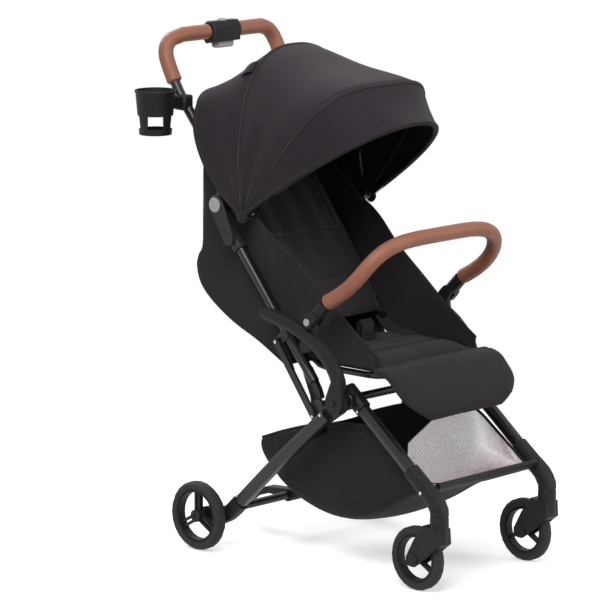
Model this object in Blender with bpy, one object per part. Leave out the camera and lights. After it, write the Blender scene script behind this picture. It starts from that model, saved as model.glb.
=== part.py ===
"""A compact folding stroller, in metres, +Z up, facing -Y, its left side at +X.

Side-view places are (y, z) pairs measured from the rear wheels' axis, y backwards and z above the
floor. A root empty then carries the whole stroller so that the frame's origin lies on the floor
under the middle of its bounding box.
"""

from math import atan2, cos, pi, radians, sin, sqrt

import bmesh
import bpy
from mathutils import Matrix, Vector

# Rolling gear
REAR_WHEEL_R = 0.073
REAR_TYRE_WIDTH = 0.027
REAR_WHEEL_X = 0.2355
FRONT_WHEEL_R = 0.066
FRONT_TYRE_WIDTH = 0.024
CASTOR_X = 0.167
CASTOR_Y = -0.613
CASTOR_TRAIL = 0.057
CASTOR_TOP_Z = 0.162
TYRE_DEPTH = 0.0165
HUB_R = 0.0135
AXLE_R = 0.004
FORK_GAP = 0.0025
FORK_WALL = 0.005

# Side frame: leg and armrest lie in the outer layer, tubes of the folding frame inside it
OUTER_LAYER_X = 0.1925
OUTER_LAYER_WIDTH = 0.025
LEG_DEPTH = 0.029
HUB = (-0.368, 0.363)
HUB_KNUCKLE_R = 0.024
HUB_PIN_R = 0.005
FRONT_LEG_WIDTH = 0.022
FRONT_LEG_DEPTH = 0.027
ARMREST_DEPTH = 0.030
ARMREST_TIP = (-0.157, 0.524)

# Folding frame
PUSH_TUBE_X = 0.166
PUSH_TUBE_R = 0.011
PUSH_TUBE_FOOT = (-0.268, 0.3868)
PUSH_TUBE_TOP = (-0.033, 0.6687)
HANDLE_HINGE = (-0.0065, 0.7275)
HANDLE_OFFSET = 0.048
HANDLE_X = 0.166
HANDLE_PLATE = (0.1665, 0.1740)
HANDLE_R = 0.011
GRIP_R = 0.0160
HANDLE_TOP = (0.160, 1.064)
GRIP_START = 6
ACTUATOR_HALF_WIDTH = 0.041
LINK_FOOT = (-0.281, 0.318)
LINK_HEAD = (-0.175, 0.460)
LINK_X = 0.1785
LINK_THICKNESS = 0.006
LINK_HALF_WIDTH = 0.0075
LINK_PIN_R = 0.004
CROSS_TUBE = (-0.288, 0.341)
CROSS_TUBE_R = 0.009

# Bumper bar
BUMPER_PIVOT = (-0.298, 0.5215)
BUMPER_X = 0.2065
BUMPER_LUG = (0.1979, 0.2081)
BUMPER_LUG_R = 0.0095
BUMPER_PIN_R = 0.003
BUMPER_BUTTON_R = 0.0075
BUMPER_FOLD = radians(72.2)
BUMPER_TILT = radians(134.0)
BUMPER_STRAIGHT = 0.062
BUMPER_REACH = 0.243
BUMPER_BOW = 0.018
BUMPER_R = 0.011
BUMPER_GRIP_R = 0.0155
BUMPER_SOCKET_R = 0.0143
BUMPER_SOCKET_LENGTH = 0.058
BUMPER_BLEND = 4.2

# Canopy
CANOPY_PIVOT = (-0.0905, 0.714)
CANOPY_HALF_WIDTH = 0.194
CANOPY_WIRE_R = 0.0028
CANOPY_WIRE_STEP = 0.0062
CANOPY_PIN_R = 0.003
BOW_STEPS = 16
CANOPY_CLOTH = 0.002
CANOPY_TRIM = 0.006
BOW_START = 0.11
BRIM_BOW = (radians(146.7), 0.366, 2.15)
MID_BOW = (radians(127.8), 0.346, 3.7)
REAR_BOW = (radians(83.0), 0.336, 2.45)
REAR_EDGE = (radians(54.0), 0.302, 6.0)
REAR_FLARE = radians(28.0)

# Seat
SEAT_PIVOT = (-0.232, 0.430)
SEAT_FRONT_Y = -0.432
SEAT_REAR_Y = -0.188
SEAT_RAIL_X = 0.136
SEAT_RAIL_R = 0.007
SEAT_PAD_THICKNESS = 0.018
SEAT_PAD_HALF_WIDTH = 0.148
SEAT_DROP = 0.005
BACK_PIVOT = (-0.1696, 0.470)
BACK_LENGTH = 0.388
BACK_ANGLE = radians(54.0)
BACK_PAD_THICKNESS = 0.016
BACK_PAD_HALF_WIDTH = 0.146
PIVOT_EYE_R = 0.009
LEG_REST_PIVOT = (-0.4343, 0.4284)
LEG_REST_HALF_WIDTH = 0.178
LEG_REST_THICKNESS = 0.020

# Basket and footboard
BASKET_HALF_WIDTH = 0.148
BASKET_CLOTH = 0.003
FOOTBOARD = (-0.588, 0.212)

# Cup holder
CUP_AXIS = (-0.2415, 0.116)
CUP_TOP_Z = 0.962
CUP_HEIGHT = 0.093
CUP_TOP_R = 0.0435
CUP_BOTTOM_R = 0.034
CUP_WALL = 0.0025

# Fits
GAP = 0.0003
BORE_GAP = 0.0003
PAD_SETTLE = 0.0001
SIDES = 10
RAIL_SIDES = 6
FINE_SIDES = 14
WHEEL_STEPS = 24

# The bounding box runs from the castor posts to the grips and from the cup holder to a rear wheel
POST_R = 0.019
GRIP_LEAN = 0.0063
MIDDLE_Y = ((CASTOR_Y - POST_R) + (HANDLE_TOP[0] + GRIP_R + GRIP_LEAN)) / 2
MIDDLE_X = ((CUP_AXIS[0] - CUP_TOP_R) + (REAR_WHEEL_X + REAR_TYRE_WIDTH / 2)) / 2


def clear_scene():
    for old in list(bpy.data.objects):
        bpy.data.objects.remove(old, do_unlink=True)


def finish(name, colour, roughness, metallic=0.0):
    """A plain Principled material, made once for each name."""
    made = bpy.data.materials.get(name)
    if made:
        return made
    made = bpy.data.materials.new(name)
    made.use_nodes = True
    shader = made.node_tree.nodes["Principled BSDF"]
    shader.inputs["Base Color"].default_value = (*colour, 1.0)
    shader.inputs["Roughness"].default_value = roughness
    shader.inputs["Metallic"].default_value = metallic
    made.diffuse_color = (*colour, 1.0)
    return made


def black_paint():
    return finish("black_paint", (0.022, 0.022, 0.024), 0.38, 0.5)


def black_plastic():
    return finish("black_plastic", (0.026, 0.026, 0.028), 0.55)


def grey_plastic():
    return finish("grey_plastic", (0.30, 0.30, 0.31), 0.45)


def tan_leather():
    return finish("tan_leather", (0.37, 0.13, 0.075), 0.55)


def tyre_rubber():
    return finish("tyre_rubber", (0.014, 0.014, 0.015), 0.75)


def steel():
    return finish("steel", (0.55, 0.55, 0.56), 0.3, 1.0)


def black_cloth():
    return finish("black_cloth", (0.020, 0.019, 0.021), 0.9)


def mesh_cloth():
    return finish("mesh_cloth", (0.10, 0.09, 0.095), 0.85)


def round_bore(radius):
    """A bore whose flats clear a facetted bar of this radius, however the facets lie."""
    return radius / cos(pi / SIDES) + BORE_GAP


# Shape helpers: each returns an object whose mesh is in the stroller's own coordinates


def point(x, yz):
    return Vector((x, yz[0], yz[1]))


def toward(yz, angle, distance):
    """The side-view place at a distance from yz along an angle."""
    return (yz[0] + distance * cos(angle), yz[1] + distance * sin(angle))


def bearing(a, b):
    return atan2(b[1] - a[1], b[0] - a[0])


def new_object(bm, smooth=35.0):
    bmesh.ops.recalc_face_normals(bm, faces=bm.faces)
    if bm.calc_volume(signed=True) < 0:
        bmesh.ops.reverse_faces(bm, faces=bm.faces)
    mesh = bpy.data.meshes.new("shape")
    bm.to_mesh(mesh)
    bm.free()
    mesh.shade_smooth()
    mesh.set_sharp_from_angle(angle=radians(smooth))
    made = bpy.data.objects.new("shape", mesh)
    bpy.context.scene.collection.objects.link(made)
    return made


def skin(rings, closed=False):
    """A solid through equal rings of points, its two end rings filled, or joined when closed."""
    bm = bmesh.new()
    loops = [[bm.verts.new(p) for p in ring] for ring in rings]
    count = len(loops[0])
    spans = list(zip(loops, loops[1:]))
    if closed:
        spans.append((loops[-1], loops[0]))
    for low, high in spans:
        for i in range(count):
            j = (i + 1) % count
            bm.faces.new((low[i], low[j], high[j], high[i]))
    if not closed:
        bm.faces.new(loops[0])
        bm.faces.new(reversed(loops[-1]))
    return new_object(bm)


def plate(outline, x_low, x_high, bevel=0.0):
    """A flat piece: a side-view outline with thickness along X and softened rims."""
    bm = bmesh.new()
    face = bm.faces.new([bm.verts.new(point(x_low, yz)) for yz in outline])
    grown = bmesh.ops.extrude_face_region(bm, geom=[face])
    moved = [v for v in grown["geom"] if isinstance(v, bmesh.types.BMVert)]
    bmesh.ops.translate(bm, verts=moved, vec=(x_high - x_low, 0, 0))
    if bevel:
        rims = [e for e in bm.edges if abs(e.verts[0].co.x - e.verts[1].co.x) < 1e-6]
        bmesh.ops.bevel(bm, geom=rims, offset=bevel, segments=1, affect="EDGES")
    return new_object(bm)


def stadium(a, b, radius_a, radius_b=None, steps=6):
    """The side-view outline round two circles, a tapered bar with round ends."""
    radius_b = radius_a if radius_b is None else radius_b
    angle = bearing(a, b)
    lean = pi / 2 + (radius_b - radius_a) / max(sqrt((b[0] - a[0]) ** 2 + (b[1] - a[1]) ** 2), 1e-6)
    outline = []
    for i in range(steps + 1):
        turn = angle + lean + (2 * pi - 2 * lean) * i / steps
        outline.append(toward(a, turn, radius_a))
    for i in range(steps + 1):
        turn = angle - lean + 2 * lean * i / steps
        outline.append(toward(b, turn, radius_b))
    return outline


def disc(centre, radius, x_low, x_high, sides=FINE_SIDES, bevel=0.0, turn=0.0):
    outline = [toward(centre, turn + 2 * pi * i / sides, radius) for i in range(sides)]
    return plate(outline, x_low, x_high, bevel)


def turned(profile, centre, axis="X", steps=24):
    """A closed profile of (radius, along) turned about an axis; radius 0 closes a pole."""
    bm = bmesh.new()
    frame = Matrix.Rotation(pi / 2, 4, "Y") if axis == "X" else Matrix.Identity(4)
    verts = [bm.verts.new((r, 0, along)) for r, along in profile]
    pole = any(r < 1e-6 for r, _ in profile)
    edges = [bm.edges.new(pair) for pair in zip(verts, verts[1:])]
    if not pole:
        edges.append(bm.edges.new((verts[-1], verts[0])))
    bmesh.ops.spin(bm, geom=verts + edges, cent=(0, 0, 0), axis=(0, 0, 1), angle=2 * pi, steps=steps)
    bmesh.ops.remove_doubles(bm, verts=bm.verts, dist=1e-6)
    bmesh.ops.transform(bm, matrix=Matrix.Translation(centre) @ frame, verts=bm.verts)
    return new_object(bm)


def frames_along(path):
    """At each point of a path, two unit vectors across it, the first kept close to X or Y."""
    found = []
    for i, here in enumerate(path):
        ahead = path[min(i + 1, len(path) - 1)] - path[max(i - 1, 0)]
        tangent = ahead.normalized()
        if found:
            across = found[-1][0] - tangent * found[-1][0].dot(tangent)
        else:
            along_x = abs(tangent.x) > 0.9
            start = Vector((0, 1, 0)) if along_x else Vector((1, 0, 0))
            across = start - tangent * tangent.dot(start)
        across.normalize()
        found.append((across, tangent.cross(across)))
    return found


def ring_at(here, across, up, half_width, half_depth, sides, square=1.0):
    """A ring round one path point: an ellipse, or a rounded box as square falls below 1."""
    ring = []
    for k in range(sides):
        c, s = cos(2 * pi * (k + 0.5) / sides), sin(2 * pi * (k + 0.5) / sides)
        c = abs(c) ** square * (1 if c > 0 else -1)
        s = abs(s) ** square * (1 if s > 0 else -1)
        ring.append(here + across * half_width * c + up * half_depth * s)
    return ring


def sweep(path, half_width, half_depth=None, sides=SIDES, square=1.0, scale=None):
    """A tube or bar along a path. scale gives one factor for each path point."""
    half_depth = half_width if half_depth is None else half_depth
    scale = scale or [1.0] * len(path)
    frames = frames_along(path)
    return skin([
        ring_at(here, across, up, half_width * k, half_depth * k, sides, square)
        for here, (across, up), k in zip(path, frames, scale)
    ])


def sleeve(path, outer, inner, sides=SIDES):
    """A tube with a bore from end to end, as a grip over a bar."""
    frames = frames_along(path)
    rows = [
        (ring_at(here, across, up, outer, outer, sides), ring_at(here, across, up, inner, inner, sides))
        for here, (across, up) in zip(path, frames)
    ]
    around = [ring for ring, _ in rows] + [ring for _, ring in reversed(rows)]
    return skin(around, closed=True)


def smooth_path(points, steps=4):
    """A curve through the points, by Catmull-Rom spans."""
    ends = [points[0] * 2 - points[1]] + points + [points[-1] * 2 - points[-2]]
    path = []
    for a, b, c, d in zip(ends, ends[1:], ends[2:], ends[3:]):
        for k in range(steps):
            t = k / steps
            path.append(
                0.5 * ((b * 2) + (c - a) * t + (a * 2 - b * 5 + c * 4 - d) * t**2
                       + (b * 3 - a - c * 3 + d) * t**3)
            )
    return path + [points[-1]]


def side_path(x, places, steps=4):
    return smooth_path([point(x, yz) for yz in places], steps)


def box(low, high, bevel=0.0, segments=1):
    bm = bmesh.new()
    bmesh.ops.create_cube(bm, size=1.0)
    size = Vector(high) - Vector(low)
    bmesh.ops.scale(bm, vec=size, verts=bm.verts)
    bmesh.ops.translate(bm, vec=(Vector(low) + Vector(high)) / 2, verts=bm.verts)
    if bevel:
        bmesh.ops.bevel(bm, geom=bm.edges[:], offset=bevel, segments=segments, affect="EDGES")
    return new_object(bm)


def combined(base, others, operation):
    """The base after an exact union with the others, or with the others cut from it."""
    for other in others:
        step = base.modifiers.new("join", "BOOLEAN")
        step.operation = operation
        step.solver = "EXACT"
        step.object = other
    bpy.context.view_layer.update()
    graph = bpy.context.evaluated_depsgraph_get()
    mesh = bpy.data.meshes.new_from_object(base.evaluated_get(graph))
    base.modifiers.clear()
    base.data = mesh
    for other in others:
        bpy.data.objects.remove(other, do_unlink=True)
    mesh.shade_smooth()
    mesh.set_sharp_from_angle(angle=radians(35.0))
    return base


def joined(base, *others):
    return combined(base, others, "UNION")


def cut(base, *others):
    return combined(base, others, "DIFFERENCE")


def mirrored(made):
    """The same shape on the stroller's other side."""
    bm = bmesh.new()
    bm.from_mesh(made.data)
    bmesh.ops.scale(bm, vec=(-1, 1, 1), verts=bm.verts)
    bpy.data.objects.remove(made, do_unlink=True)
    return new_object(bm)


def thickened(bm, thickness, offset=-1.0):
    """A cloth surface given its thickness and closed along its edges."""
    made = new_object(bm)
    bm = bmesh.new()
    bm.from_mesh(made.data)
    bpy.data.objects.remove(made, do_unlink=True)
    bmesh.ops.solidify(bm, geom=bm.faces[:], thickness=thickness * -offset)
    return new_object(bm)


# The tree of empties: each lies on the axis that its pieces turn about


def pivot(name, place, parent=None):
    made = bpy.data.objects.new(name, None)
    made.empty_display_size = 0.03
    bpy.context.scene.collection.objects.link(made)
    made["place"] = place
    if parent is None:
        made.location = place
        return made
    made.parent = parent
    made.location = place - Vector(parent["place"])
    return made


def put(name, made, parent, material):
    """Names a shape, hangs it on its empty and moves its mesh so that it stays where it is."""
    made.name = name
    made.data.name = name
    made.data.transform(Matrix.Translation(-Vector(parent["place"])))
    made.parent = parent
    made.data.materials.clear()
    made.data.materials.append(material)
    return made


def both_sides(name, build, parents, material):
    """One piece on the left and its mirror image on the right."""
    for side, parent in zip(("left", "right"), parents):
        made = build()
        if side == "right":
            made = mirrored(made)
        put(f"{name}_{side}", made, parent, material)


# Rear frame


def outer_middle():
    return OUTER_LAYER_X + OUTER_LAYER_WIDTH / 2


def leg_path():
    places = [(-0.079, 0.098), (-0.20, 0.212), (-0.300, 0.299), (-0.3415, 0.334)]
    return side_path(outer_middle(), places, 2)


def rear_leg():
    """An oval tube that ends at the hub in the inner half of a knuckle, with the hub's pin."""
    middle = outer_middle()
    tube = sweep(leg_path(), OUTER_LAYER_WIDTH / 2, LEG_DEPTH / 2, SIDES, 0.75)
    neck = stadium((-0.3315, 0.3255), HUB, 0.0135, HUB_KNUCKLE_R)
    knuckle = plate(neck, OUTER_LAYER_X, middle - GAP, 0.001)
    pin = disc(HUB, HUB_PIN_R, OUTER_LAYER_X - 0.0125, OUTER_LAYER_X + OUTER_LAYER_WIDTH + 0.002)
    return joined(tube, knuckle, pin)


def rear_bracket():
    """The moulded foot of a rear leg: a sleeve over the tube, an axle boss and its stub axle."""
    middle = outer_middle()
    sleeve_path = side_path(middle, [(-0.094, 0.112), (-0.062, 0.083), (-0.030, 0.070)], 2)
    body = sweep(sleeve_path, OUTER_LAYER_WIDTH / 2 + 0.003, LEG_DEPTH / 2 + 0.003, SIDES, 0.7)
    arm = plate(stadium((-0.045, 0.076), (0.0, REAR_WHEEL_R), 0.017, 0.016), 0.1915, 0.2185, 0.0015)
    wheel_out = REAR_WHEEL_X + REAR_TYRE_WIDTH / 2
    stub = disc((0.0, REAR_WHEEL_R), AXLE_R, 0.2180, wheel_out - 0.004)
    rib = plate(stadium((-0.085, 0.090), (-0.020, 0.052), 0.006), 0.201, 0.209)
    made = joined(body, arm, rib, stub)
    leg = leg_path()
    leg[0] += (leg[0] - leg[1]).normalized() * 0.0008
    bore = sweep(leg, OUTER_LAYER_WIDTH / 2 + BORE_GAP, LEG_DEPTH / 2 + BORE_GAP, SIDES, 0.75)
    return cut(made, bore)


REAR_CROSS = (-0.052, 0.088)
REAR_CROSS_R = 0.009


def rear_cross_tube():
    """The tube between the two rear brackets, butted against their inner faces."""
    end = OUTER_LAYER_X - 0.003 - GAP
    return sweep([point(-end, REAR_CROSS), point(end, REAR_CROSS)], REAR_CROSS_R)


def cross_tube():
    """The tube behind the hubs that the lock hooks seat on, with a bracket plate at each end."""
    plate_out = LINK_X - 0.0008
    made = sweep([point(-plate_out, CROSS_TUBE), point(plate_out, CROSS_TUBE)], CROSS_TUBE_R)
    for sign in (1, -1):
        ends = sorted((sign * (plate_out - 0.007), sign * plate_out))
        arm = plate(stadium(CROSS_TUBE, (-0.296, 0.300), 0.014, 0.012), *ends)
        eye = disc(LINK_FOOT, 0.011, *ends)
        reach = sorted((sign * (plate_out - 0.007), sign * (OUTER_LAYER_X - GAP)))
        foot = plate(stadium((-0.302, 0.290), (-0.291, 0.282), 0.0075), *reach)
        pin_ends = sorted((sign * (plate_out - 0.001), sign * (LINK_X + LINK_THICKNESS + 0.003)))
        pin = disc(LINK_FOOT, LINK_PIN_R, *pin_ends)
        made = joined(made, arm, eye, foot, pin)
    return made


# Wheels


def tyre(centre_x, centre, radius, width):
    half = width / 2
    inner = radius - TYRE_DEPTH
    profile = [
        (inner, -half * 0.7),
        (inner + 0.006, -half),
        (radius - 0.0055, -half * 0.95),
        (radius, -half * 0.45),
        (radius, half * 0.45),
        (radius - 0.0055, half * 0.95),
        (inner + 0.006, half),
        (inner, half * 0.7),
    ]
    return turned(profile, point(centre_x, centre), steps=WHEEL_STEPS)


def rim(centre_x, centre, radius, width, spokes, spoke_width, twin):
    """A rim ring, a bored hub and three spokes, each single or a pair with a slot between."""
    outer = radius - TYRE_DEPTH - GAP
    inner = outer - 0.0055
    half = width * 0.36
    hub_half = width * 0.42
    ring = turned([(inner, -half), (outer, -half * 0.8), (outer, half * 0.8), (inner, half)],
                  point(centre_x, centre), steps=WHEEL_STEPS)
    bore = AXLE_R + BORE_GAP
    hub = turned([(bore, -hub_half), (HUB_R, -hub_half), (HUB_R, hub_half), (bore, hub_half)],
                 point(centre_x, centre), steps=12)
    made = joined(ring, hub)
    for k in range(spokes):
        angle = pi / 2 + 2 * pi * k / spokes
        offsets = (-twin, twin) if twin else (0.0,)
        for offset in offsets:
            side = angle + pi / 2
            a = toward(toward(centre, angle, HUB_R - 0.002), side, offset)
            b = toward(toward(centre, angle, inner + 0.0025), side, offset)
            bar = []
            for place, turn in ((a, -pi / 2), (b, -pi / 2), (b, pi / 2), (a, pi / 2)):
                bar.append(toward(place, angle + turn, spoke_width / 2))
            made = joined(made, plate(bar, centre_x - half * 0.55, centre_x + half * 0.55))
    return made


def wheel(name, body, centre_x, centre, radius, width, twin):
    for side, sign in (("left", 1), ("right", -1)):
        parent = body[side]
        put(f"{name}_tyre_{side}", tyre(sign * centre_x, centre, radius, width), parent, tyre_rubber())
        made = rim(sign * centre_x, centre, radius, width, 3, 0.0075 if not twin else 0.0052, twin)
        put(f"{name}_rim_{side}", made, parent, black_plastic())


# Front frame and castors


def front_leg():
    """The front leg: its upper socket with the hub knuckle, and the tube down to the elbow."""
    top = (-0.3655, 0.3815)
    low = (-0.5475, 0.2345)
    tube = sweep([point(CASTOR_X, toward(top, bearing(top, low), 0.01)), point(CASTOR_X, low)],
                 FRONT_LEG_WIDTH / 2, FRONT_LEG_DEPTH / 2, SIDES, 0.8)
    socket_end = toward(top, bearing(top, low), 0.052)
    socket = sweep([point(CASTOR_X, toward(top, bearing(top, low), -0.006)), point(CASTOR_X, socket_end)],
                   0.0145, 0.0175, SIDES, 0.7)
    knuckle_x = (CASTOR_X + 0.008, OUTER_LAYER_X - GAP)
    knuckle = plate(stadium(HUB, (-0.381, 0.366), 0.020, 0.017), *knuckle_x, 0.001)
    made = joined(socket, tube, knuckle)
    return cut(made, disc(HUB, HUB_PIN_R + BORE_GAP, 0.176, 0.2))


def elbow_path():
    bend = side_path(CASTOR_X, [(-0.536, 0.2438), (-0.574, 0.213), (-0.600, 0.193),
                                (CASTOR_Y, CASTOR_TOP_Z + 0.010)], 2)
    return bend + [Vector((CASTOR_X, CASTOR_Y, CASTOR_TOP_Z + GAP))]


def front_elbow():
    """The moulded elbow between a leg tube and its castor, bored for both."""
    path = elbow_path()
    scale = [0.88 + 0.12 * min(1.0, i / (len(path) - 3)) for i in range(len(path))]
    body = sweep(path, 0.0180, 0.0185, SIDES, 0.85, scale)
    low = (-0.5475, 0.2345)
    top = (-0.3655, 0.3815)
    leg = [point(CASTOR_X, top), point(CASTOR_X, toward(low, bearing(top, low), 0.0008))]
    bore = sweep(leg, FRONT_LEG_WIDTH / 2 + BORE_GAP, FRONT_LEG_DEPTH / 2 + BORE_GAP, SIDES, 0.8)
    stem = turned([(0, CASTOR_TOP_Z - 0.01), (0.0068, CASTOR_TOP_Z - 0.01),
                   (0.0068, CASTOR_TOP_Z + 0.0165), (0, CASTOR_TOP_Z + 0.0165)],
                  Vector((CASTOR_X, CASTOR_Y, 0)), "Z", 12)
    return cut(body, bore, stem)


def castor_fork():
    """The swivelling fork: post, lip, two cheeks, ribbed eight-sided axle caps, axle and stem."""
    hub = (CASTOR_Y + CASTOR_TRAIL, FRONT_WHEEL_R)
    inner = FRONT_TYRE_WIDTH / 2 + FORK_GAP
    outer = inner + FORK_WALL
    crown_z = FRONT_WHEEL_R + 0.072
    post = turned([(0, crown_z - 0.030), (POST_R - 0.002, crown_z - 0.030), (POST_R, crown_z - 0.012),
                   (POST_R, CASTOR_TOP_Z - 0.003), (POST_R - 0.002, CASTOR_TOP_Z), (0, CASTOR_TOP_Z)],
                  Vector((CASTOR_X, CASTOR_Y, 0)), "Z", FINE_SIDES)
    outline = [(CASTOR_Y - 0.014, crown_z - 0.002), (CASTOR_Y - 0.016, crown_z - 0.034),
               toward(hub, radians(215), 0.017), toward(hub, radians(250), 0.0165),
               toward(hub, radians(290), 0.0165), toward(hub, radians(340), 0.0165),
               toward(hub, radians(25), 0.0165), (hub[0] - 0.004, hub[1] + 0.042),
               (CASTOR_Y + 0.036, crown_z - 0.010), (CASTOR_Y + 0.030, crown_z + 0.002)]
    block = plate(outline, CASTOR_X - outer, CASTOR_X + outer, 0.0015)
    caps = disc(hub, 0.0150, CASTOR_X - outer - 0.003, CASTOR_X + outer + 0.003, 8, 0.001, radians(22.5))
    made = joined(block, post, caps)
    wheel_room = disc(hub, FRONT_WHEEL_R + 0.004, CASTOR_X - inner, CASTOR_X + inner, 20)
    made = cut(made, wheel_room)
    axle = disc(hub, AXLE_R, CASTOR_X - inner - 0.002, CASTOR_X + inner + 0.002)
    stem = turned([(0, CASTOR_TOP_Z - 0.004), (0.0065, CASTOR_TOP_Z - 0.004),
                   (0.0065, CASTOR_TOP_Z + 0.0155), (0, CASTOR_TOP_Z + 0.0155)],
                  Vector((CASTOR_X, CASTOR_Y, 0)), "Z", 12)
    return joined(made, axle, stem)


def footboard():
    """The flat bar between the two elbows."""
    end = CASTOR_X - 0.0165 - GAP
    path = [point(-end, FOOTBOARD), point(end, FOOTBOARD)]
    rings = []
    lean = radians(140)
    for here in path:
        across = Vector((0, cos(lean), sin(lean)))
        up = Vector((0, -sin(lean), cos(lean)))
        rings.append(ring_at(here, across, up, 0.0145, 0.0065, SIDES, 0.7))
    return skin(rings)


# Armrests and bumper bar


def bumper_lug_foot():
    """Where the armrest's lug for the bumper bar grows out of the arm."""
    return (BUMPER_PIVOT[0] - 0.003, BUMPER_PIVOT[1] - 0.0275)


def armrest():
    """The curved moulding above the hub: outer half of the knuckle, C-shaped arm and hinge lug."""
    middle = outer_middle()
    places = [(-0.3725, 0.392), (-0.371, 0.408), (-0.356, 0.436), (-0.322, 0.470), (-0.272, 0.497),
              (-0.212, 0.514), ARMREST_TIP]
    path = side_path(middle, places, 2)
    count = len(path) - 1
    scale = [1.0 - 0.22 * max(0.0, (i / count - 0.82) / 0.18) ** 2 for i in range(count + 1)]
    arm = sweep(path, OUTER_LAYER_WIDTH / 2, ARMREST_DEPTH / 2, SIDES, 0.7, scale)
    neck = stadium((-0.3725, 0.398), HUB, 0.0145, HUB_KNUCKLE_R)
    knuckle = plate(neck, middle + GAP, OUTER_LAYER_X + OUTER_LAYER_WIDTH, 0.0015)
    bulge = plate(stadium((-0.300, 0.482), (-0.281, 0.468), 0.016, 0.013), middle - 0.008, middle + 0.008,
                  0.002)
    lug = plate(stadium(BUMPER_PIVOT, bumper_lug_foot(), BUMPER_LUG_R, BUMPER_LUG_R), *BUMPER_LUG)
    made = joined(arm, knuckle, bulge, lug)
    bore = disc(HUB, HUB_PIN_R + BORE_GAP, middle - 0.002, OUTER_LAYER_X + OUTER_LAYER_WIDTH + 0.001)
    hinge = disc(BUMPER_PIVOT, BUMPER_PIN_R + BORE_GAP, BUMPER_LUG[0] - 0.005, BUMPER_LUG[1] + 0.002, 12)
    return cut(made, bore, hinge)


def bumper_socket():
    """A socket for one end of the bumper bar, forked over the armrest's lug, with its pin."""
    x = BUMPER_X
    end = toward(BUMPER_PIVOT, BUMPER_TILT, BUMPER_SOCKET_LENGTH)
    knee = toward(BUMPER_PIVOT, BUMPER_TILT, 0.010)
    body = sweep([point(x, knee), point(x, end)], BUMPER_SOCKET_R)
    head = plate(stadium(BUMPER_PIVOT, toward(knee, BUMPER_TILT, 0.006), BUMPER_SOCKET_R - 0.001),
                 x - BUMPER_SOCKET_R + 0.0007, x + BUMPER_SOCKET_R + 0.0002)
    made = joined(body, head)
    floor = toward(BUMPER_PIVOT, BUMPER_TILT, 0.0185)
    bore = sweep([point(x, floor), point(x, toward(end, BUMPER_TILT, 0.01))], round_bore(BUMPER_R))
    folded = bearing(BUMPER_PIVOT, bumper_lug_foot()) - BUMPER_FOLD
    slot = plate(stadium(BUMPER_PIVOT, toward(BUMPER_PIVOT, folded, 0.030), 0.0150, BUMPER_LUG_R + 0.001),
                 BUMPER_LUG[0] - 0.0004, BUMPER_LUG[1] + 0.0004)
    pocket = disc(BUMPER_PIVOT, BUMPER_BUTTON_R + 0.0005, x + 0.006, x + 0.024)
    made = cut(made, bore, slot, pocket)
    return joined(made, disc(BUMPER_PIVOT, BUMPER_PIN_R, BUMPER_LUG[0] - 0.0014, BUMPER_LUG[1] + 0.0014, 12))


def bumper_button():
    """The grey release button in the socket's outer face."""
    return disc(BUMPER_PIVOT, BUMPER_BUTTON_R, BUMPER_X + 0.0095, BUMPER_X + 0.017, FINE_SIDES, 0.0008)


def bumper_path():
    """The bumper bar's line: straight out of each socket, then over the front as one bow."""
    half = []
    for rise in (0.0, 0.30, 0.58, 0.77, 0.89, 0.96, 0.995, 1.0):
        x = BUMPER_X * (1 - rise**BUMPER_BLEND) ** (1 / BUMPER_BLEND)
        reach = BUMPER_STRAIGHT + (BUMPER_REACH - BUMPER_STRAIGHT) * rise
        middle = toward(BUMPER_PIVOT, BUMPER_TILT, reach)
        half.append(point(x, toward(middle, BUMPER_TILT + pi / 2, BUMPER_BOW * sin(pi * rise))))
    other = [Vector((-p.x, p.y, p.z)) for p in reversed(half[:-1])]
    return half + other


def bumper_tube():
    low = toward(BUMPER_PIVOT, BUMPER_TILT, 0.020)
    path = [point(BUMPER_X, low)] + bumper_path() + [point(-BUMPER_X, low)]
    return sweep(path, BUMPER_R, sides=8)


def bumper_grip():
    """The padded sleeve over the bow of the bumper bar."""
    path = bumper_path()
    return sleeve(path, BUMPER_GRIP_R, BUMPER_R + BORE_GAP, 8)


# Folding frame


def link_bar():
    """A pressed bar between the bracket on the cross tube and the push tube's lug."""
    bar = plate(stadium(LINK_FOOT, LINK_HEAD, LINK_HALF_WIDTH), LINK_X, LINK_X + LINK_THICKNESS)
    holes = [disc(at, LINK_PIN_R + BORE_GAP, LINK_X - 0.01, LINK_X + 0.02, 12)
             for at in (LINK_FOOT, LINK_HEAD)]
    return cut(bar, *holes)


def push_bearing():
    return bearing(PUSH_TUBE_FOOT, PUSH_TUBE_TOP)


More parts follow.
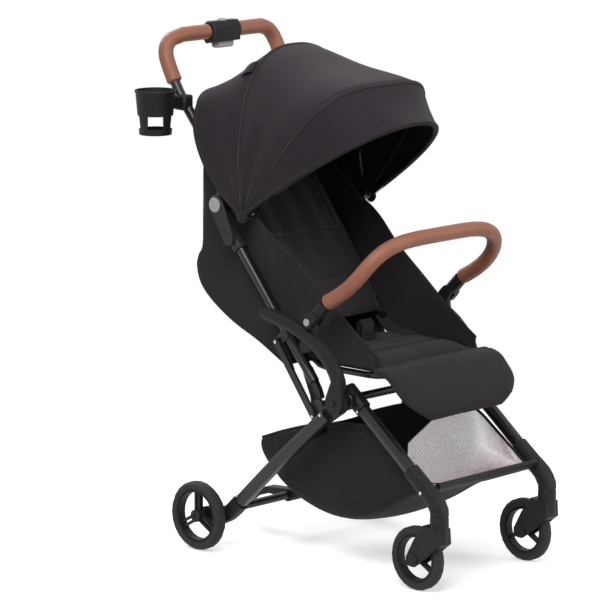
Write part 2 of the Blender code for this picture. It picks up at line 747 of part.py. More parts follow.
def push_tube():
    """A push tube with its link lug and the lock hook that seats on the cross tube."""
    along = push_bearing()
    tube = sweep([point(PUSH_TUBE_X, PUSH_TUBE_FOOT), point(PUSH_TUBE_X, PUSH_TUBE_TOP)], PUSH_TUBE_R)
    lug = plate(stadium(toward(LINK_HEAD, along + pi / 2, 0.022), LINK_HEAD, 0.012, 0.009),
                PUSH_TUBE_X, LINK_X - 0.0008)
    pin = disc(LINK_HEAD, LINK_PIN_R, PUSH_TUBE_X + 0.004, LINK_X + LINK_THICKNESS + 0.002)
    grip = toward(PUSH_TUBE_FOOT, along, 0.030)
    hook = plate([toward(grip, along + pi / 2, 0.009), toward(grip, along - pi / 2, 0.012),
                  (-0.2600, 0.3560), (-0.2640, 0.3300), (-0.2850, 0.3215), (-0.2960, 0.3260),
                  (-0.2880, 0.3295), (-0.2790, 0.3350), (-0.2770, 0.3430), (-0.2800, 0.3500),
                  (-0.2900, 0.3560), (-0.2840, 0.3720)],
                 PUSH_TUBE_X - 0.008, PUSH_TUBE_X + 0.004)
    back_lug = plate(stadium(toward(BACK_PIVOT, along + pi / 2, 0.022), BACK_PIVOT, PIVOT_EYE_R),
                     PUSH_TUBE_X - PUSH_TUBE_R - GAP, PUSH_TUBE_X - PUSH_TUBE_R + 0.004)
    return joined(tube, lug, pin, hook, back_lug)


def hinge_housing():
    """The lower half of the handle hinge: a socket over the push tube, a cheek and its pin."""
    along = push_bearing()
    top = toward(PUSH_TUBE_TOP, along, 0.014)
    low = toward(PUSH_TUBE_TOP, along, -0.040)
    body = sweep([point(PUSH_TUBE_X, low), point(PUSH_TUBE_X, top)], 0.0145, 0.0145, SIDES, 0.8)
    cheek = plate(stadium(toward(PUSH_TUBE_TOP, along, -0.012), HANDLE_HINGE, 0.0145, 0.0200),
                  0.1803, 0.1890, 0.0015)
    web = plate(stadium(toward(PUSH_TUBE_TOP, along, -0.014), toward(PUSH_TUBE_TOP, along, 0.002), 0.0135),
                PUSH_TUBE_X + 0.005, 0.1850)
    pin = disc(HANDLE_HINGE, 0.0050, 0.1660, 0.1840)
    made = joined(body, cheek, web, pin, hinge_cap())
    bore_top = toward(PUSH_TUBE_TOP, along, GAP)
    bore = sweep([point(PUSH_TUBE_X, toward(low, along, -0.01)), point(PUSH_TUBE_X, bore_top)],
                 PUSH_TUBE_R + BORE_GAP)
    return cut(made, bore)


def hinge_cap():
    """The round cap on the outside of the handle hinge."""
    profile = [(0, 0.0), (0.0165, 0.0), (0.0165, 0.0030), (0.0145, 0.0050), (0, 0.0058)]
    return turned(profile, point(0.1882, HANDLE_HINGE), steps=16)


def handle_foot():
    along = push_bearing()
    start = toward(HANDLE_HINGE, along + pi / 2, HANDLE_OFFSET)
    return toward(start, along, 0.030)


def handle_places():
    return [handle_foot(), (0.036, 0.848), (0.104, 0.927), (0.134, 0.970), (0.160, 1.024)]


def handle_side():
    """The handle's line from the left hinge up to the start of its straight top."""
    rise = [point(HANDLE_X, yz) for yz in handle_places()]
    return smooth_path(rise + [point(0.150, (0.166, 1.052)), point(0.118, HANDLE_TOP)], 2)


def handle_path():
    side = handle_side()
    return side + [Vector((-p.x, p.y, p.z)) for p in reversed(side)]


def handle_tube():
    """The handle's steel bow with both upper hinge plates and their canopy arms."""
    made = sweep(handle_path(), HANDLE_R)
    foot = handle_foot()
    for sign in (1, -1):
        ends = sorted(sign * x for x in HANDLE_PLATE)
        socket = sweep([point(sign * HANDLE_X, toward(foot, push_bearing(), -0.006)),
                        point(sign * HANDLE_X, toward(foot, push_bearing(), 0.030))], 0.0133)
        arm = plate(stadium(HANDLE_HINGE, toward(foot, push_bearing(), 0.008), 0.0170, 0.0125), *ends)
        canopy_arm = plate(stadium(HANDLE_HINGE, CANOPY_PIVOT, 0.011, 0.0085), *ends)
        pin_ends = sorted((sign * (HANDLE_PLATE[1] - 0.002), sign * (CANOPY_HALF_WIDTH + 0.0015)))
        boss = disc(CANOPY_PIVOT, CANOPY_PIN_R, *pin_ends)
        made = joined(made, socket, arm, canopy_arm, boss)
    hole_ends = [sorted((sign * 0.160, sign * 0.183)) for sign in (1, -1)]
    holes = [disc(HANDLE_HINGE, 0.0050 + BORE_GAP, *ends) for ends in hole_ends]
    return cut(made, *holes)


def handle_grip():
    """The leather sleeve over one bend of the handle, up to the actuator."""
    path = handle_side()[GRIP_START:] + [point(ACTUATOR_HALF_WIDTH + 0.0015, HANDLE_TOP)]
    return sleeve(path, GRIP_R, round_bore(HANDLE_R))


def actuator_housing():
    """The fold actuator's moulded block round the middle of the bar, bored for it."""
    y, z = HANDLE_TOP
    outline = [(y - 0.017, z - 0.022), (y + 0.010, z - 0.027), (y + 0.018, z - 0.018),
               (y + 0.018, z + 0.012), (y + 0.008, z + 0.021), (y - 0.010, z + 0.021),
               (y - 0.019, z + 0.010)]
    body = plate(outline, -ACTUATOR_HALF_WIDTH, ACTUATOR_HALF_WIDTH, 0.003)
    bore = sweep([point(-0.06, HANDLE_TOP), point(0.06, HANDLE_TOP)], round_bore(HANDLE_R))
    button_room = turned([(0, z + 0.0125), (0.0098, z + 0.0125), (0.0098, z + 0.03), (0, z + 0.03)],
                         Vector((0, y, 0)), "Z", FINE_SIDES)
    trigger_room = box((-0.0263, y - 0.0123, z - 0.04), (0.0263, y + 0.0083, z - 0.0142))
    return cut(body, bore, button_room, trigger_room)


def safety_button():
    """The secondary lock button on top of the actuator."""
    y, z = HANDLE_TOP
    profile = [(0, z + 0.0165), (0.0095, z + 0.0165), (0.0095, z + 0.0235), (0.0080, z + 0.0250),
               (0, z + 0.0255)]
    return turned(profile, Vector((0, y, 0)), "Z", FINE_SIDES)


def fold_trigger():
    """The squeeze trigger under the bar."""
    y, z = HANDLE_TOP
    return box((-0.026, y - 0.012, z - 0.036), (0.026, y + 0.008, z - 0.0185), 0.003, 2)


def cup_holder():
    """A tapered cup with a rolled rim, four windows low in its wall and a clip for the tube."""
    x, y = CUP_AXIS
    floor_z = CUP_TOP_Z - CUP_HEIGHT
    profile = [(0, floor_z), (CUP_BOTTOM_R, floor_z), (CUP_TOP_R - 0.002, CUP_TOP_Z - 0.006),
               (CUP_TOP_R, CUP_TOP_Z - 0.004), (CUP_TOP_R, CUP_TOP_Z),
               (CUP_TOP_R - CUP_WALL, CUP_TOP_Z), (CUP_BOTTOM_R - CUP_WALL, floor_z + CUP_WALL),
               (0, floor_z + CUP_WALL)]
    cup = turned(profile, Vector((x, y, 0)), "Z", 18)
    clip_at = (0.1068, 0.9305)
    arm = box((x + CUP_TOP_R - 0.010, y - 0.0145, 0.9190), (-HANDLE_X - 0.009, y + 0.0040, 0.9440), 0.002)
    block = box((-HANDLE_X - 0.0185, clip_at[0] - 0.019, clip_at[1] - 0.016),
                (-HANDLE_X + 0.010, clip_at[0] + 0.015, clip_at[1] + 0.016), 0.004, 1)
    made = joined(cup, arm, block)
    inside = turned([(0, floor_z + CUP_WALL), (CUP_BOTTOM_R - CUP_WALL, floor_z + CUP_WALL),
                     (CUP_TOP_R - CUP_WALL, CUP_TOP_Z + 0.001), (0, CUP_TOP_Z + 0.001)],
                    Vector((x, y, 0)), "Z", 18)
    bar = [Vector((-HANDLE_X, p.y, p.z)) for p in handle_path()[2:8]]
    bore = sweep(bar, round_bore(HANDLE_R))
    made = cut(made, inside, bore)
    windows = []
    for k in range(4):
        turn = Matrix.Translation((x, y, 0)) @ Matrix.Rotation(pi / 4 + k * pi / 2, 4, "Z")
        window = box((0.015, -0.016, floor_z + 0.012), (0.06, 0.016, floor_z + 0.040), 0.0)
        window.data.transform(turn)
        windows.append(window)
    return cut(made, *windows)


# Canopy: bows and cloth panels are superellipses in planes through one pivot line


def bow_point(angle, reach, blend, half_width, turn):
    """A point of a bow, at a turn from the pivot line's left end over to its right end."""
    c, s = cos(turn), sin(turn)
    size = (abs(c) ** blend + abs(s) ** blend) ** (-1 / blend)
    return point(half_width * size * c, toward(CANOPY_PIVOT, angle, reach * size * s))


def bow_turns():
    """Even turns over a bow, from just off one end of the pivot line to just off the other."""
    span = pi - 2 * BOW_START
    return [BOW_START + span * i / BOW_STEPS for i in range(BOW_STEPS + 1)]


def bow_ring(bow, half_width):
    angle, reach, blend = bow
    return [bow_point(angle, reach, blend, half_width, turn) for turn in bow_turns()]


def canopy_bow(bow, layer):
    """A wire bow with an eye at each end, each bow one layer further in on the pivot."""
    half_width = CANOPY_HALF_WIDTH - 0.0045 - layer * CANOPY_WIRE_STEP
    path = bow_ring(bow, half_width)
    made = sweep(path, CANOPY_WIRE_R, sides=5)
    for sign in (1, -1):
        x = sign * half_width
        ends = sorted((x - CANOPY_WIRE_R * sign, x + CANOPY_WIRE_R * sign))
        tip = path[0] if sign > 0 else path[-1]
        reach = (tip.y, tip.z)
        eye = stadium(CANOPY_PIVOT, toward(reach, bow[0], 0.004), 0.0070, 0.0034, 4)
        made = joined(made, plate(eye, *ends))
    hole = disc(CANOPY_PIVOT, CANOPY_PIN_R + BORE_GAP, -CANOPY_HALF_WIDTH - 0.01, CANOPY_HALF_WIDTH + 0.01, 10)
    return cut(made, hole)


def canopy_panel(low, high, rows, sag, flare=0.0):
    """Cloth drawn nearly straight from bow to bow. Flare turns the low edge's sides down."""
    bm = bmesh.new()
    grid = []
    for r in range(rows + 1):
        k = r / rows
        angle = low[0] + CANOPY_TRIM + (high[0] - low[0] - 2 * CANOPY_TRIM) * k
        reach = low[1] + (high[1] - low[1]) * k + 0.006 - sag * sin(pi * k)
        blend = low[2] + (high[2] - low[2]) * k
        line = []
        for turn in bow_turns():
            fall = flare * (1 - k) * (1 - min(1.0, sin(turn) / 0.7071)) ** 0.8
            line.append(bm.verts.new(bow_point(angle - fall, reach, blend, CANOPY_HALF_WIDTH + 0.0025, turn)))
        grid.append(line)
    for a, b in zip(grid, grid[1:]):
        for i in range(BOW_STEPS):
            bm.faces.new((a[i], a[i + 1], b[i + 1], b[i]))
    return thickened(bm, CANOPY_CLOTH)


# Seat


def seat_rail_z():
    """The rail lies just under the cushion, whose middle is a little below the seat's pivot."""
    under = cushion_back(SEAT_PAD_THICKNESS, SEAT_RAIL_X / SEAT_PAD_HALF_WIDTH)
    return SEAT_PIVOT[1] - SEAT_DROP - under - SEAT_RAIL_R * cos(pi / RAIL_SIDES) - PAD_SETTLE


def seat_frame():
    """A U-shaped rail under the cushion, hinged on the push tubes' inner side."""
    front = SEAT_FRONT_Y + 0.012
    z = seat_rail_z()
    half = [point(SEAT_RAIL_X, SEAT_PIVOT), point(SEAT_RAIL_X, (SEAT_PIVOT[0] - 0.018, z + 0.006)),
            point(SEAT_RAIL_X, (SEAT_PIVOT[0] - 0.040, z)), point(SEAT_RAIL_X, (front + 0.030, z)),
            point(SEAT_RAIL_X - 0.012, (front + 0.006, z)), point(SEAT_RAIL_X - 0.035, (front, z - 0.0008)),
            point(0.0, (front, z - 0.0008))]
    other = [Vector((-p.x, p.y, p.z)) for p in reversed(half[:-1])]
    made = sweep(smooth_path(half + other, 2), SEAT_RAIL_R, sides=RAIL_SIDES)
    for sign in (1, -1):
        ends = sorted((sign * (SEAT_RAIL_X - 0.002), sign * (PUSH_TUBE_X - PUSH_TUBE_R - GAP)))
        made = joined(made, disc(SEAT_PIVOT, PIVOT_EYE_R, *ends, 12))
    return made


def cushion_back(thickness, u):
    """How far the underside lies behind a cushion's middle, at a share of its half width."""
    return thickness / 2 * (0.35 + 0.35 * (1 - abs(u) ** 4) ** 0.5)


def cushion(rows, half_width, thickness):
    """A pad lofted along rows of (place, up-angle, fill, width): crowned, its sides drawn in."""
    count = 8
    rings = []
    for yz, up, fill, width in rows:
        normal = Vector((0, cos(up), sin(up)))
        middle = point(0.0, yz)
        ring = []
        for side in (1, -1):
            span = range(count + 1) if side > 0 else range(count - 1, 0, -1)
            for i in span:
                u = -1 + 2 * i / count
                crown = (1 - abs(u) ** 4) ** 0.5
                top = thickness / 2 * (0.35 + 0.65 * crown)
                lift = fill * (top if side > 0 else -cushion_back(thickness, u))
                ring.append(middle + normal * lift + Vector((half_width * width * u, 0, 0)))
        rings.append(ring)
    return skin(rings)


def seat_pad():
    """The seat cushion: crowned, thinner along its edges, with two sewn channels across."""
    rows = []
    length = 12
    for i in range(length + 1):
        k = i / length
        y = SEAT_REAR_Y + (SEAT_FRONT_Y - SEAT_REAR_Y) * k
        edge = min(1.0, 0.45 + 4.5 * min(k, 1 - k))
        channel = 0.72 if i in (4, 8) else 1.0
        width = SEAT_PAD_HALF_WIDTH if y < SEAT_PIVOT[0] - 0.045 else SEAT_RAIL_X - SEAT_RAIL_R - 0.001
        rows.append(((y, SEAT_PIVOT[1] - SEAT_DROP), pi / 2, edge * channel, width / SEAT_PAD_HALF_WIDTH))
    return cushion(rows, SEAT_PAD_HALF_WIDTH, SEAT_PAD_THICKNESS)


def back_frame():
    """A U-shaped tube behind the backrest cushion, turning on the push tubes' inner side."""
    up = BACK_ANGLE
    half = [point(SEAT_RAIL_X, BACK_PIVOT), point(SEAT_RAIL_X, toward(BACK_PIVOT, up, 0.12)),
            point(SEAT_RAIL_X, toward(BACK_PIVOT, up, BACK_LENGTH - 0.045)),
            point(SEAT_RAIL_X - 0.012, toward(BACK_PIVOT, up, BACK_LENGTH - 0.018)),
            point(SEAT_RAIL_X - 0.040, toward(BACK_PIVOT, up, BACK_LENGTH - 0.008)),
            point(0.0, toward(BACK_PIVOT, up, BACK_LENGTH - 0.008))]
    other = [Vector((-p.x, p.y, p.z)) for p in reversed(half[:-1])]
    made = sweep(smooth_path(half + other, 2), SEAT_RAIL_R, sides=RAIL_SIDES)
    for sign in (1, -1):
        ends = sorted((sign * (SEAT_RAIL_X - 0.002), sign * (PUSH_TUBE_X - PUSH_TUBE_R - 0.001)))
        made = joined(made, disc(BACK_PIVOT, PIVOT_EYE_R, *ends, 12))
    return made


def back_pad():
    """The backrest cushion in front of its frame, with three sewn channels across."""
    rows = []
    length = 16
    normal = BACK_ANGLE + pi / 2
    under = cushion_back(BACK_PAD_THICKNESS, SEAT_RAIL_X / BACK_PAD_HALF_WIDTH)
    lift = SEAT_RAIL_R * cos(pi / RAIL_SIDES) + PAD_SETTLE + under
    for i in range(length + 1):
        k = i / length
        at = toward(BACK_PIVOT, BACK_ANGLE, (BACK_LENGTH + 0.002) * k + 0.004 * (1 - k))
        edge = min(1.0, 0.45 + 4.5 * min(k, 1 - k))
        channel = 0.70 if i in (4, 8, 12) else 1.0
        rows.append((toward(at, normal, lift), normal, edge * channel, 0.95 + 0.05 * sin(pi * k)))
    return cushion(rows, BACK_PAD_HALF_WIDTH, BACK_PAD_THICKNESS)


def leg_rest():
    """The leg rest: a curved pad hung from the seat's front edge, rounded at its lower corners."""
    places = side_path(0.0, [toward(LEG_REST_PIVOT, radians(20), 0.0012), (-0.474, 0.421),
                             (-0.505, 0.394), (-0.519, 0.359), (-0.515, 0.323)], 2)
    rows = []
    last = len(places) - 1
    for i, here in enumerate(places):
        ahead = places[min(i + 1, last)] - places[max(i - 1, 0)]
        normal = atan2(ahead.z, ahead.y) - pi / 2
        k = i / last
        edge = min(1.0, 0.32 + 4.5 * min(k, 1 - k))
        width = 1.0 - 0.36 * (max(0.0, k - 0.45) / 0.55) ** 2
        rows.append(((here.y, here.z), normal, edge, width))
    return cushion(rows, LEG_REST_HALF_WIDTH, LEG_REST_THICKNESS)


def buckle():
    """The crotch buckle on its short webbing: a rounded body with a square release button."""
    y, z = -0.256, SEAT_PIVOT[1] + 0.006
    webbing = box((-0.019, y - 0.002, z - 0.0022), (0.019, y + 0.002, z + 0.020))
    body = box((-0.024, y - 0.009, z + 0.011), (0.024, y + 0.009, z + 0.057), 0.006, 2)
    button = box((-0.010, y - 0.0115, z + 0.025), (0.010, y - 0.005, z + 0.045), 0.002)
    return joined(webbing, body, button)


def side_wing():
    """The seat's side cloth, from beside the backrest forward to the leg rest."""
    upper = [(-0.052, 0.742), (-0.120, 0.692), (-0.190, 0.640), (-0.235, 0.606), (-0.280, 0.571),
             (-0.330, 0.530), (-0.385, 0.488), (-0.430, 0.458)]
    lower = [(-0.032, 0.722), (-0.080, 0.652), (-0.138, 0.572), (-0.168, 0.508), (-0.210, 0.475),
             (-0.265, 0.449), (-0.350, 0.4335), (-0.428, 0.4320)]
    bm = bmesh.new()
    rows = 4
    grid = []
    for r in range(rows + 1):
        k = r / rows
        line = []
        for top, low in zip(upper, lower):
            here = point(0.0, low).lerp(point(0.0, top), k)
            fold = 0.0015 * sin(7 * pi * k)
            here.x = 0.1541 - 0.0021 * k + fold
            line.append(bm.verts.new(here))
        grid.append(line)
    for a, b in zip(grid, grid[1:]):
        for i in range(len(a) - 1):
            bm.faces.new((a[i], a[i + 1], b[i + 1], b[i]))
    return thickened(bm, 0.0015)


def rear_drape():
    """The cloth pouch behind the seat: a back wall, and side walls forward to the push tubes."""
    half = 0.1485
    back = [(0.062, 0.836), (0.074, 0.798), (0.078, 0.700), (0.080, 0.630), (0.092, 0.606),
            (0.097, 0.582), (0.085, 0.546), (0.050, 0.512), (-0.010, 0.475), (-0.080, 0.445), (-0.168, 0.405)]
    front = [(0.026, 0.812), (0.020, 0.770), (-0.010, 0.684), (-0.042, 0.636), (-0.058, 0.614),
             (-0.073, 0.594), (-0.092, 0.564), (-0.112, 0.538), (-0.138, 0.512), (-0.1588, 0.470), (-0.196, 0.398)]
    bm = bmesh.new()
    grid = []
    for n, (back_at, front_at) in enumerate(zip(back, front)):
        here = point(0.0, back_at)
        edge = point(0.0, front_at)
        fold = 0.004 * sin(n * 1.9)
        turn = here.lerp(edge, 0.012 / (here - edge).length)
        line = []
        for u in (-0.93, -0.5, 0.0, 0.5, 0.93):
            line.append(Vector((half * u, here.y + fold * (1 - u * u), here.z)))
        for u, place in ((-1.0, turn), (-1.0, edge)):
            line.insert(0, Vector((half * u, place.y, place.z)))
            line.append(Vector((-half * u, place.y, place.z)))
        grid.append([bm.verts.new(p) for p in line])
    for a, b in zip(grid, grid[1:]):
        for i in range(len(a) - 1):
            bm.faces.new((a[i], a[i + 1], b[i + 1], b[i]))
    return thickened(bm, 0.002)


# Basket


def basket():
    """The cloth basket slung between the rear and front legs: a shell open at its top."""
    low_line = [(-0.086, 0.212), (-0.110, 0.178), (-0.150, 0.139), (-0.215, 0.106), (-0.285, 0.092),
                (-0.350, 0.097), (-0.415, 0.122), (-0.490, 0.166), (-0.5749, 0.1998)]
    rim_line = [(-0.082, 0.226), (-0.118, 0.243), (-0.165, 0.262), (-0.230, 0.284), (-0.300, 0.301),
                (-0.365, 0.308), (-0.425, 0.296), (-0.490, 0.256), (-0.5749, 0.2078)]
    bm = bmesh.new()
    grid = []
    for low, high in zip(low_line, rim_line):
        line = []
        for u, k in ((-1.0, 1.0), (-1.0, 0.45), (-0.95, 0.18), (-0.82, 0.04), (-0.3, -0.02),
                     (0.3, -0.02), (0.82, 0.04), (0.95, 0.18), (1.0, 0.45), (1.0, 1.0)):
            y = low[0] + (high[0] - low[0]) * max(k, 0.0)
            z = low[1] + (high[1] - low[1]) * k
            line.append(bm.verts.new((BASKET_HALF_WIDTH * u, y, z)))
        grid.append(line)
    for a, b in zip(grid, grid[1:]):
        for i in range(len(a) - 1):
            bm.faces.new((a[i], a[i + 1], b[i + 1], b[i]))
    return thickened(bm, BASKET_CLOTH)


# Small levers


PEDAL_PIVOT = REAR_CROSS
LATCH_PIVOT = (-0.1845, 0.2120)


def brake_pedal():
    """The parking brake's foot lever, turning on the rear cross tube."""
    ring = disc(PEDAL_PIVOT, REAR_CROSS_R + 0.005, -0.022, 0.022)
    arm = plate([toward(PEDAL_PIVOT, radians(60), 0.012), (0.020, 0.094), (0.078, 0.074), (0.098, 0.052),
                 (0.090, 0.046), (0.068, 0.062), (0.012, 0.080), toward(PEDAL_PIVOT, radians(-50), 0.012)],
                -0.012, 0.012)
    tread = plate([(0.060, 0.083), (0.078, 0.0765), (0.102, 0.050), (0.094, 0.044), (0.066, 0.066)],
                  -0.028, 0.028, 0.0015)
    made = joined(ring, arm, tread)
    return cut(made, disc(PEDAL_PIVOT, REAR_CROSS_R + BORE_GAP, -0.03, 0.03, 24))


def fold_latch():
    """The sprung hook on the left rear leg that holds the folded frame."""
    x_low, x_high = 0.1840, OUTER_LAYER_X - GAP
    shoulder = (-0.196, 0.247)
    root = stadium(LATCH_PIVOT, shoulder, 0.011, 0.008)
    stalk = stadium(shoulder, (-0.201, 0.292), 0.0075, 0.0065)
    made = joined(plate(root, x_low, x_high), plate(stalk, x_low, x_high))
    eye = plate(stadium((-0.1975, 0.262), (-0.2005, 0.285), 0.0030, 0.0028), x_low - 0.01, x_high + 0.01)
    return cut(made, eye)


def make_bodies():
    """The empties, one for each piece or group that moves, from the floor frame outwards."""
    root = pivot("stroller", Vector((-MIDDLE_X, -MIDDLE_Y, 0.0)))
    root["place"] = Vector((0, 0, 0))
    bodies = {"root": root}
    for side, sign in (("left", 1), ("right", -1)):
        wheel_at = point(sign * REAR_WHEEL_X, (0.0, REAR_WHEEL_R))
        bodies[f"rear_wheel_{side}"] = pivot(f"rear_wheel_axis_{side}", wheel_at, root)
        bodies[f"link_{side}"] = pivot(f"link_axis_{side}", point(sign * LINK_X, LINK_FOOT), root)
        bodies[f"armrest_{side}"] = pivot(f"armrest_axis_{side}", point(sign * outer_middle(), HUB), root)
        bumper_at = point(sign * BUMPER_X, BUMPER_PIVOT)
        arm = bodies[f"armrest_{side}"]
        bodies[f"bumper_socket_{side}"] = pivot(f"bumper_socket_axis_{side}", bumper_at, arm)
        bodies[f"bumper_button_{side}"] = pivot(f"bumper_button_axis_{side}", bumper_at,
                                                bodies[f"bumper_socket_{side}"])
    bodies["bumper"] = pivot("bumper_axis", point(0.0, BUMPER_PIVOT), bodies["bumper_socket_left"])
    bodies["front"] = pivot("front_frame_axis", point(0.0, HUB), root)
    for side, sign in (("left", 1), ("right", -1)):
        swivel = Vector((sign * CASTOR_X, CASTOR_Y, CASTOR_TOP_Z))
        bodies[f"castor_{side}"] = pivot(f"castor_axis_{side}", swivel, bodies["front"])
        centre = point(sign * CASTOR_X, (CASTOR_Y + CASTOR_TRAIL, FRONT_WHEEL_R))
        bodies[f"front_wheel_{side}"] = pivot(f"front_wheel_axis_{side}", centre, bodies[f"castor_{side}"])
    push = pivot("push_frame_axis", point(0.0, LINK_HEAD), bodies["link_left"])
    bodies["push"] = push
    bodies["handle"] = pivot("handle_axis", point(0.0, HANDLE_HINGE), push)
    bodies["button"] = pivot("safety_button_axis", point(0.0, HANDLE_TOP), bodies["handle"])
    bodies["trigger"] = pivot("fold_trigger_axis", point(0.0, HANDLE_TOP), bodies["handle"])
    bodies["canopy_front"] = pivot("canopy_front_axis", point(0.0, CANOPY_PIVOT), bodies["handle"])
    bodies["canopy_mid"] = pivot("canopy_mid_axis", point(0.0, CANOPY_PIVOT), bodies["handle"])
    bodies["seat"] = pivot("seat_axis", point(0.0, SEAT_PIVOT), push)
    bodies["back"] = pivot("backrest_axis", point(0.0, BACK_PIVOT), push)
    bodies["leg_rest"] = pivot("leg_rest_axis", point(0.0, LEG_REST_PIVOT), bodies["seat"])
    bodies["pedal"] = pivot("brake_pedal_axis", point(0.0, PEDAL_PIVOT), root)
    bodies["latch"] = pivot("fold_latch_axis", point(OUTER_LAYER_X, LATCH_PIVOT), root)
    return bodies


def make_rear(bodies):
    root = bodies["root"]
    both_sides("rear_leg", rear_leg, (root, root), black_paint())
    both_sides("rear_bracket", rear_bracket, (root, root), black_plastic())
    put("rear_cross_tube", rear_cross_tube(), root, black_paint())
    put("hub_cross_tube", cross_tube(), root, black_paint())
    put("basket", basket(), root, mesh_cloth())
    put("brake_pedal", brake_pedal(), bodies["pedal"], black_plastic())
    put("fold_latch", fold_latch(), bodies["latch"], black_plastic())
    wheels = {side: bodies[f"rear_wheel_{side}"] for side in ("left", "right")}
    wheel("rear", wheels, REAR_WHEEL_X, (0.0, REAR_WHEEL_R), REAR_WHEEL_R, REAR_TYRE_WIDTH, 0.0052)


def make_front(bodies):
    front = bodies["front"]
    both_sides("front_leg", front_leg, (front, front), black_paint())
    both_sides("front_elbow", front_elbow, (front, front), black_plastic())
    put("footboard", footboard(), front, black_plastic())
    castors = [bodies[f"castor_{side}"] for side in ("left", "right")]
    both_sides("castor_fork", castor_fork, castors, black_plastic())
    wheels = {side: bodies[f"front_wheel_{side}"] for side in ("left", "right")}
    centre = (CASTOR_Y + CASTOR_TRAIL, FRONT_WHEEL_R)
    wheel("front", wheels, CASTOR_X, centre, FRONT_WHEEL_R, FRONT_TYRE_WIDTH, 0.0)


def make_arms(bodies):
    arms = [bodies[f"armrest_{side}"] for side in ("left", "right")]
    sockets = [bodies[f"bumper_socket_{side}"] for side in ("left", "right")]
    buttons = [bodies[f"bumper_button_{side}"] for side in ("left", "right")]
    both_sides("armrest", armrest, arms, black_plastic())
    both_sides("bumper_socket", bumper_socket, sockets, black_plastic())
    both_sides("bumper_button", bumper_button, buttons, grey_plastic())
    put("bumper_tube", bumper_tube(), bodies["bumper"], black_paint())
    put("bumper_grip", bumper_grip(), bodies["bumper"], tan_leather())


def make_push(bodies):
    push = bodies["push"]
    links = [bodies[f"link_{side}"] for side in ("left", "right")]
    both_sides("link_bar", link_bar, links, black_paint())
    both_sides("push_tube", push_tube, (push, push), black_paint())
    both_sides("hinge_housing", hinge_housing, (push, push), black_plastic())


def make_handle(bodies):
    handle = bodies["handle"]
    put("handle_tube", handle_tube(), handle, black_paint())
    both_sides("handle_grip", handle_grip, (handle, handle), tan_leather())
    put("actuator_housing", actuator_housing(), handle, black_plastic())
    put("safety_button", safety_button(), bodies["button"], grey_plastic())
    put("fold_trigger", fold_trigger(), bodies["trigger"], grey_plastic())
    put("cup_holder", cup_holder(), handle, black_plastic())


def make_canopy(bodies):
    handle = bodies["handle"]
    put("canopy_bow_front", canopy_bow(BRIM_BOW, 0), bodies["canopy_front"], steel())
    put("canopy_bow_mid", canopy_bow(MID_BOW, 1), bodies["canopy_mid"], steel())
    put("canopy_bow_rear", canopy_bow(REAR_BOW, 2), handle, steel())
    front = canopy_panel(MID_BOW, BRIM_BOW, 3, 0.004)
    put("canopy_front_panel", front, bodies["canopy_front"], black_cloth())
    middle = canopy_panel(REAR_BOW, MID_BOW, 5, 0.024)
    put("canopy_mid_panel", middle, bodies["canopy_mid"], black_cloth())
    rear = canopy_panel(REAR_EDGE, REAR_BOW, 4, 0.006, REAR_FLARE)
    put("canopy_rear_panel", rear, handle, black_cloth())


def make_seat(bodies):
    seat, back, push = bodies["seat"], bodies["back"], bodies["push"]
    put("seat_frame", seat_frame(), seat, black_paint())
    put("seat_pad", seat_pad(), seat, black_cloth())
    put("crotch_buckle", buckle(), seat, black_plastic())
    put("leg_rest_pad", leg_rest(), bodies["leg_rest"], black_cloth())
    put("backrest_frame", back_frame(), back, black_paint())
    put("backrest_pad", back_pad(), back, black_cloth())
    both_sides("side_wing", side_wing, (push, push), black_cloth())
    put("rear_drape", rear_drape(), push, black_cloth())


def main():
    clear_scene()
    bodies = make_bodies()
    make_rear(bodies)
    make_front(bodies)
    make_arms(bodies)
    make_push(bodies)
    make_handle(bodies)
    make_canopy(bodies)
    make_seat(bodies)


main()
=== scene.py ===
# %% [markdown]
# # A compact folding stroller
# The frame comes from the CAD model: tubes, hinges, wheels and levers, each on a moving body.
# This lesson dresses it. It gives every rigid part a procedural finish, and it swaps the plain
# cloth solids for sewn canopy panels, padded cushions, a sagging basket and leather grips.

# %% Load the frame
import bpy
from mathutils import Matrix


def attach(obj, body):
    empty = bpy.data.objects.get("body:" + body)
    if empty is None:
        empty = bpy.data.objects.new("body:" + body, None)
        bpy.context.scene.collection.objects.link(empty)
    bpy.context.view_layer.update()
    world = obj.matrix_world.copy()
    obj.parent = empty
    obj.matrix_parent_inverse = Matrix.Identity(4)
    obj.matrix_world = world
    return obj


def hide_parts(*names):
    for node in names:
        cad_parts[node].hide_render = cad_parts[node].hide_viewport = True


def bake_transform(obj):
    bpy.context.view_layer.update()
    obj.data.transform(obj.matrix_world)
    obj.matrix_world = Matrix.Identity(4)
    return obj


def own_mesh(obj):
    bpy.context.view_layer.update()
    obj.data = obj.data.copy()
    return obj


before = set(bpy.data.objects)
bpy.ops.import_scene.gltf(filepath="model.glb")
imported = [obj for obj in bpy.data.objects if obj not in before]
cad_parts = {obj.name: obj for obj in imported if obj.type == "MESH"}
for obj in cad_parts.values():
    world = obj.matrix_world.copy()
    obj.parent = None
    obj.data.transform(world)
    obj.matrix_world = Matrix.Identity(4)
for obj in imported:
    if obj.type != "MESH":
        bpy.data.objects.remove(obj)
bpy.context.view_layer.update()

# %% Modules
from math import atan2, cos, pi, radians, sin

import bmesh
import bpy
import numpy as np
from mathutils import Vector, noise
from mathutils.bvhtree import BVHTree

# %% [markdown]
# The stroller's own places are easiest to read in a side view. There (y, z) is measured from the
# rear axle, y backwards and z above the floor. One offset carries such a place into the frame.

# %% Side-view places
REAR_AXLE = Vector((0.018, 0.22485, 0.0))


def place(x, yz):
    return Vector((x, yz[0], yz[1])) + REAR_AXLE


def toward(yz, angle, distance):
    return (yz[0] + distance * cos(angle), yz[1] + distance * sin(angle))


SIDES = (("left", 1), ("right", -1))


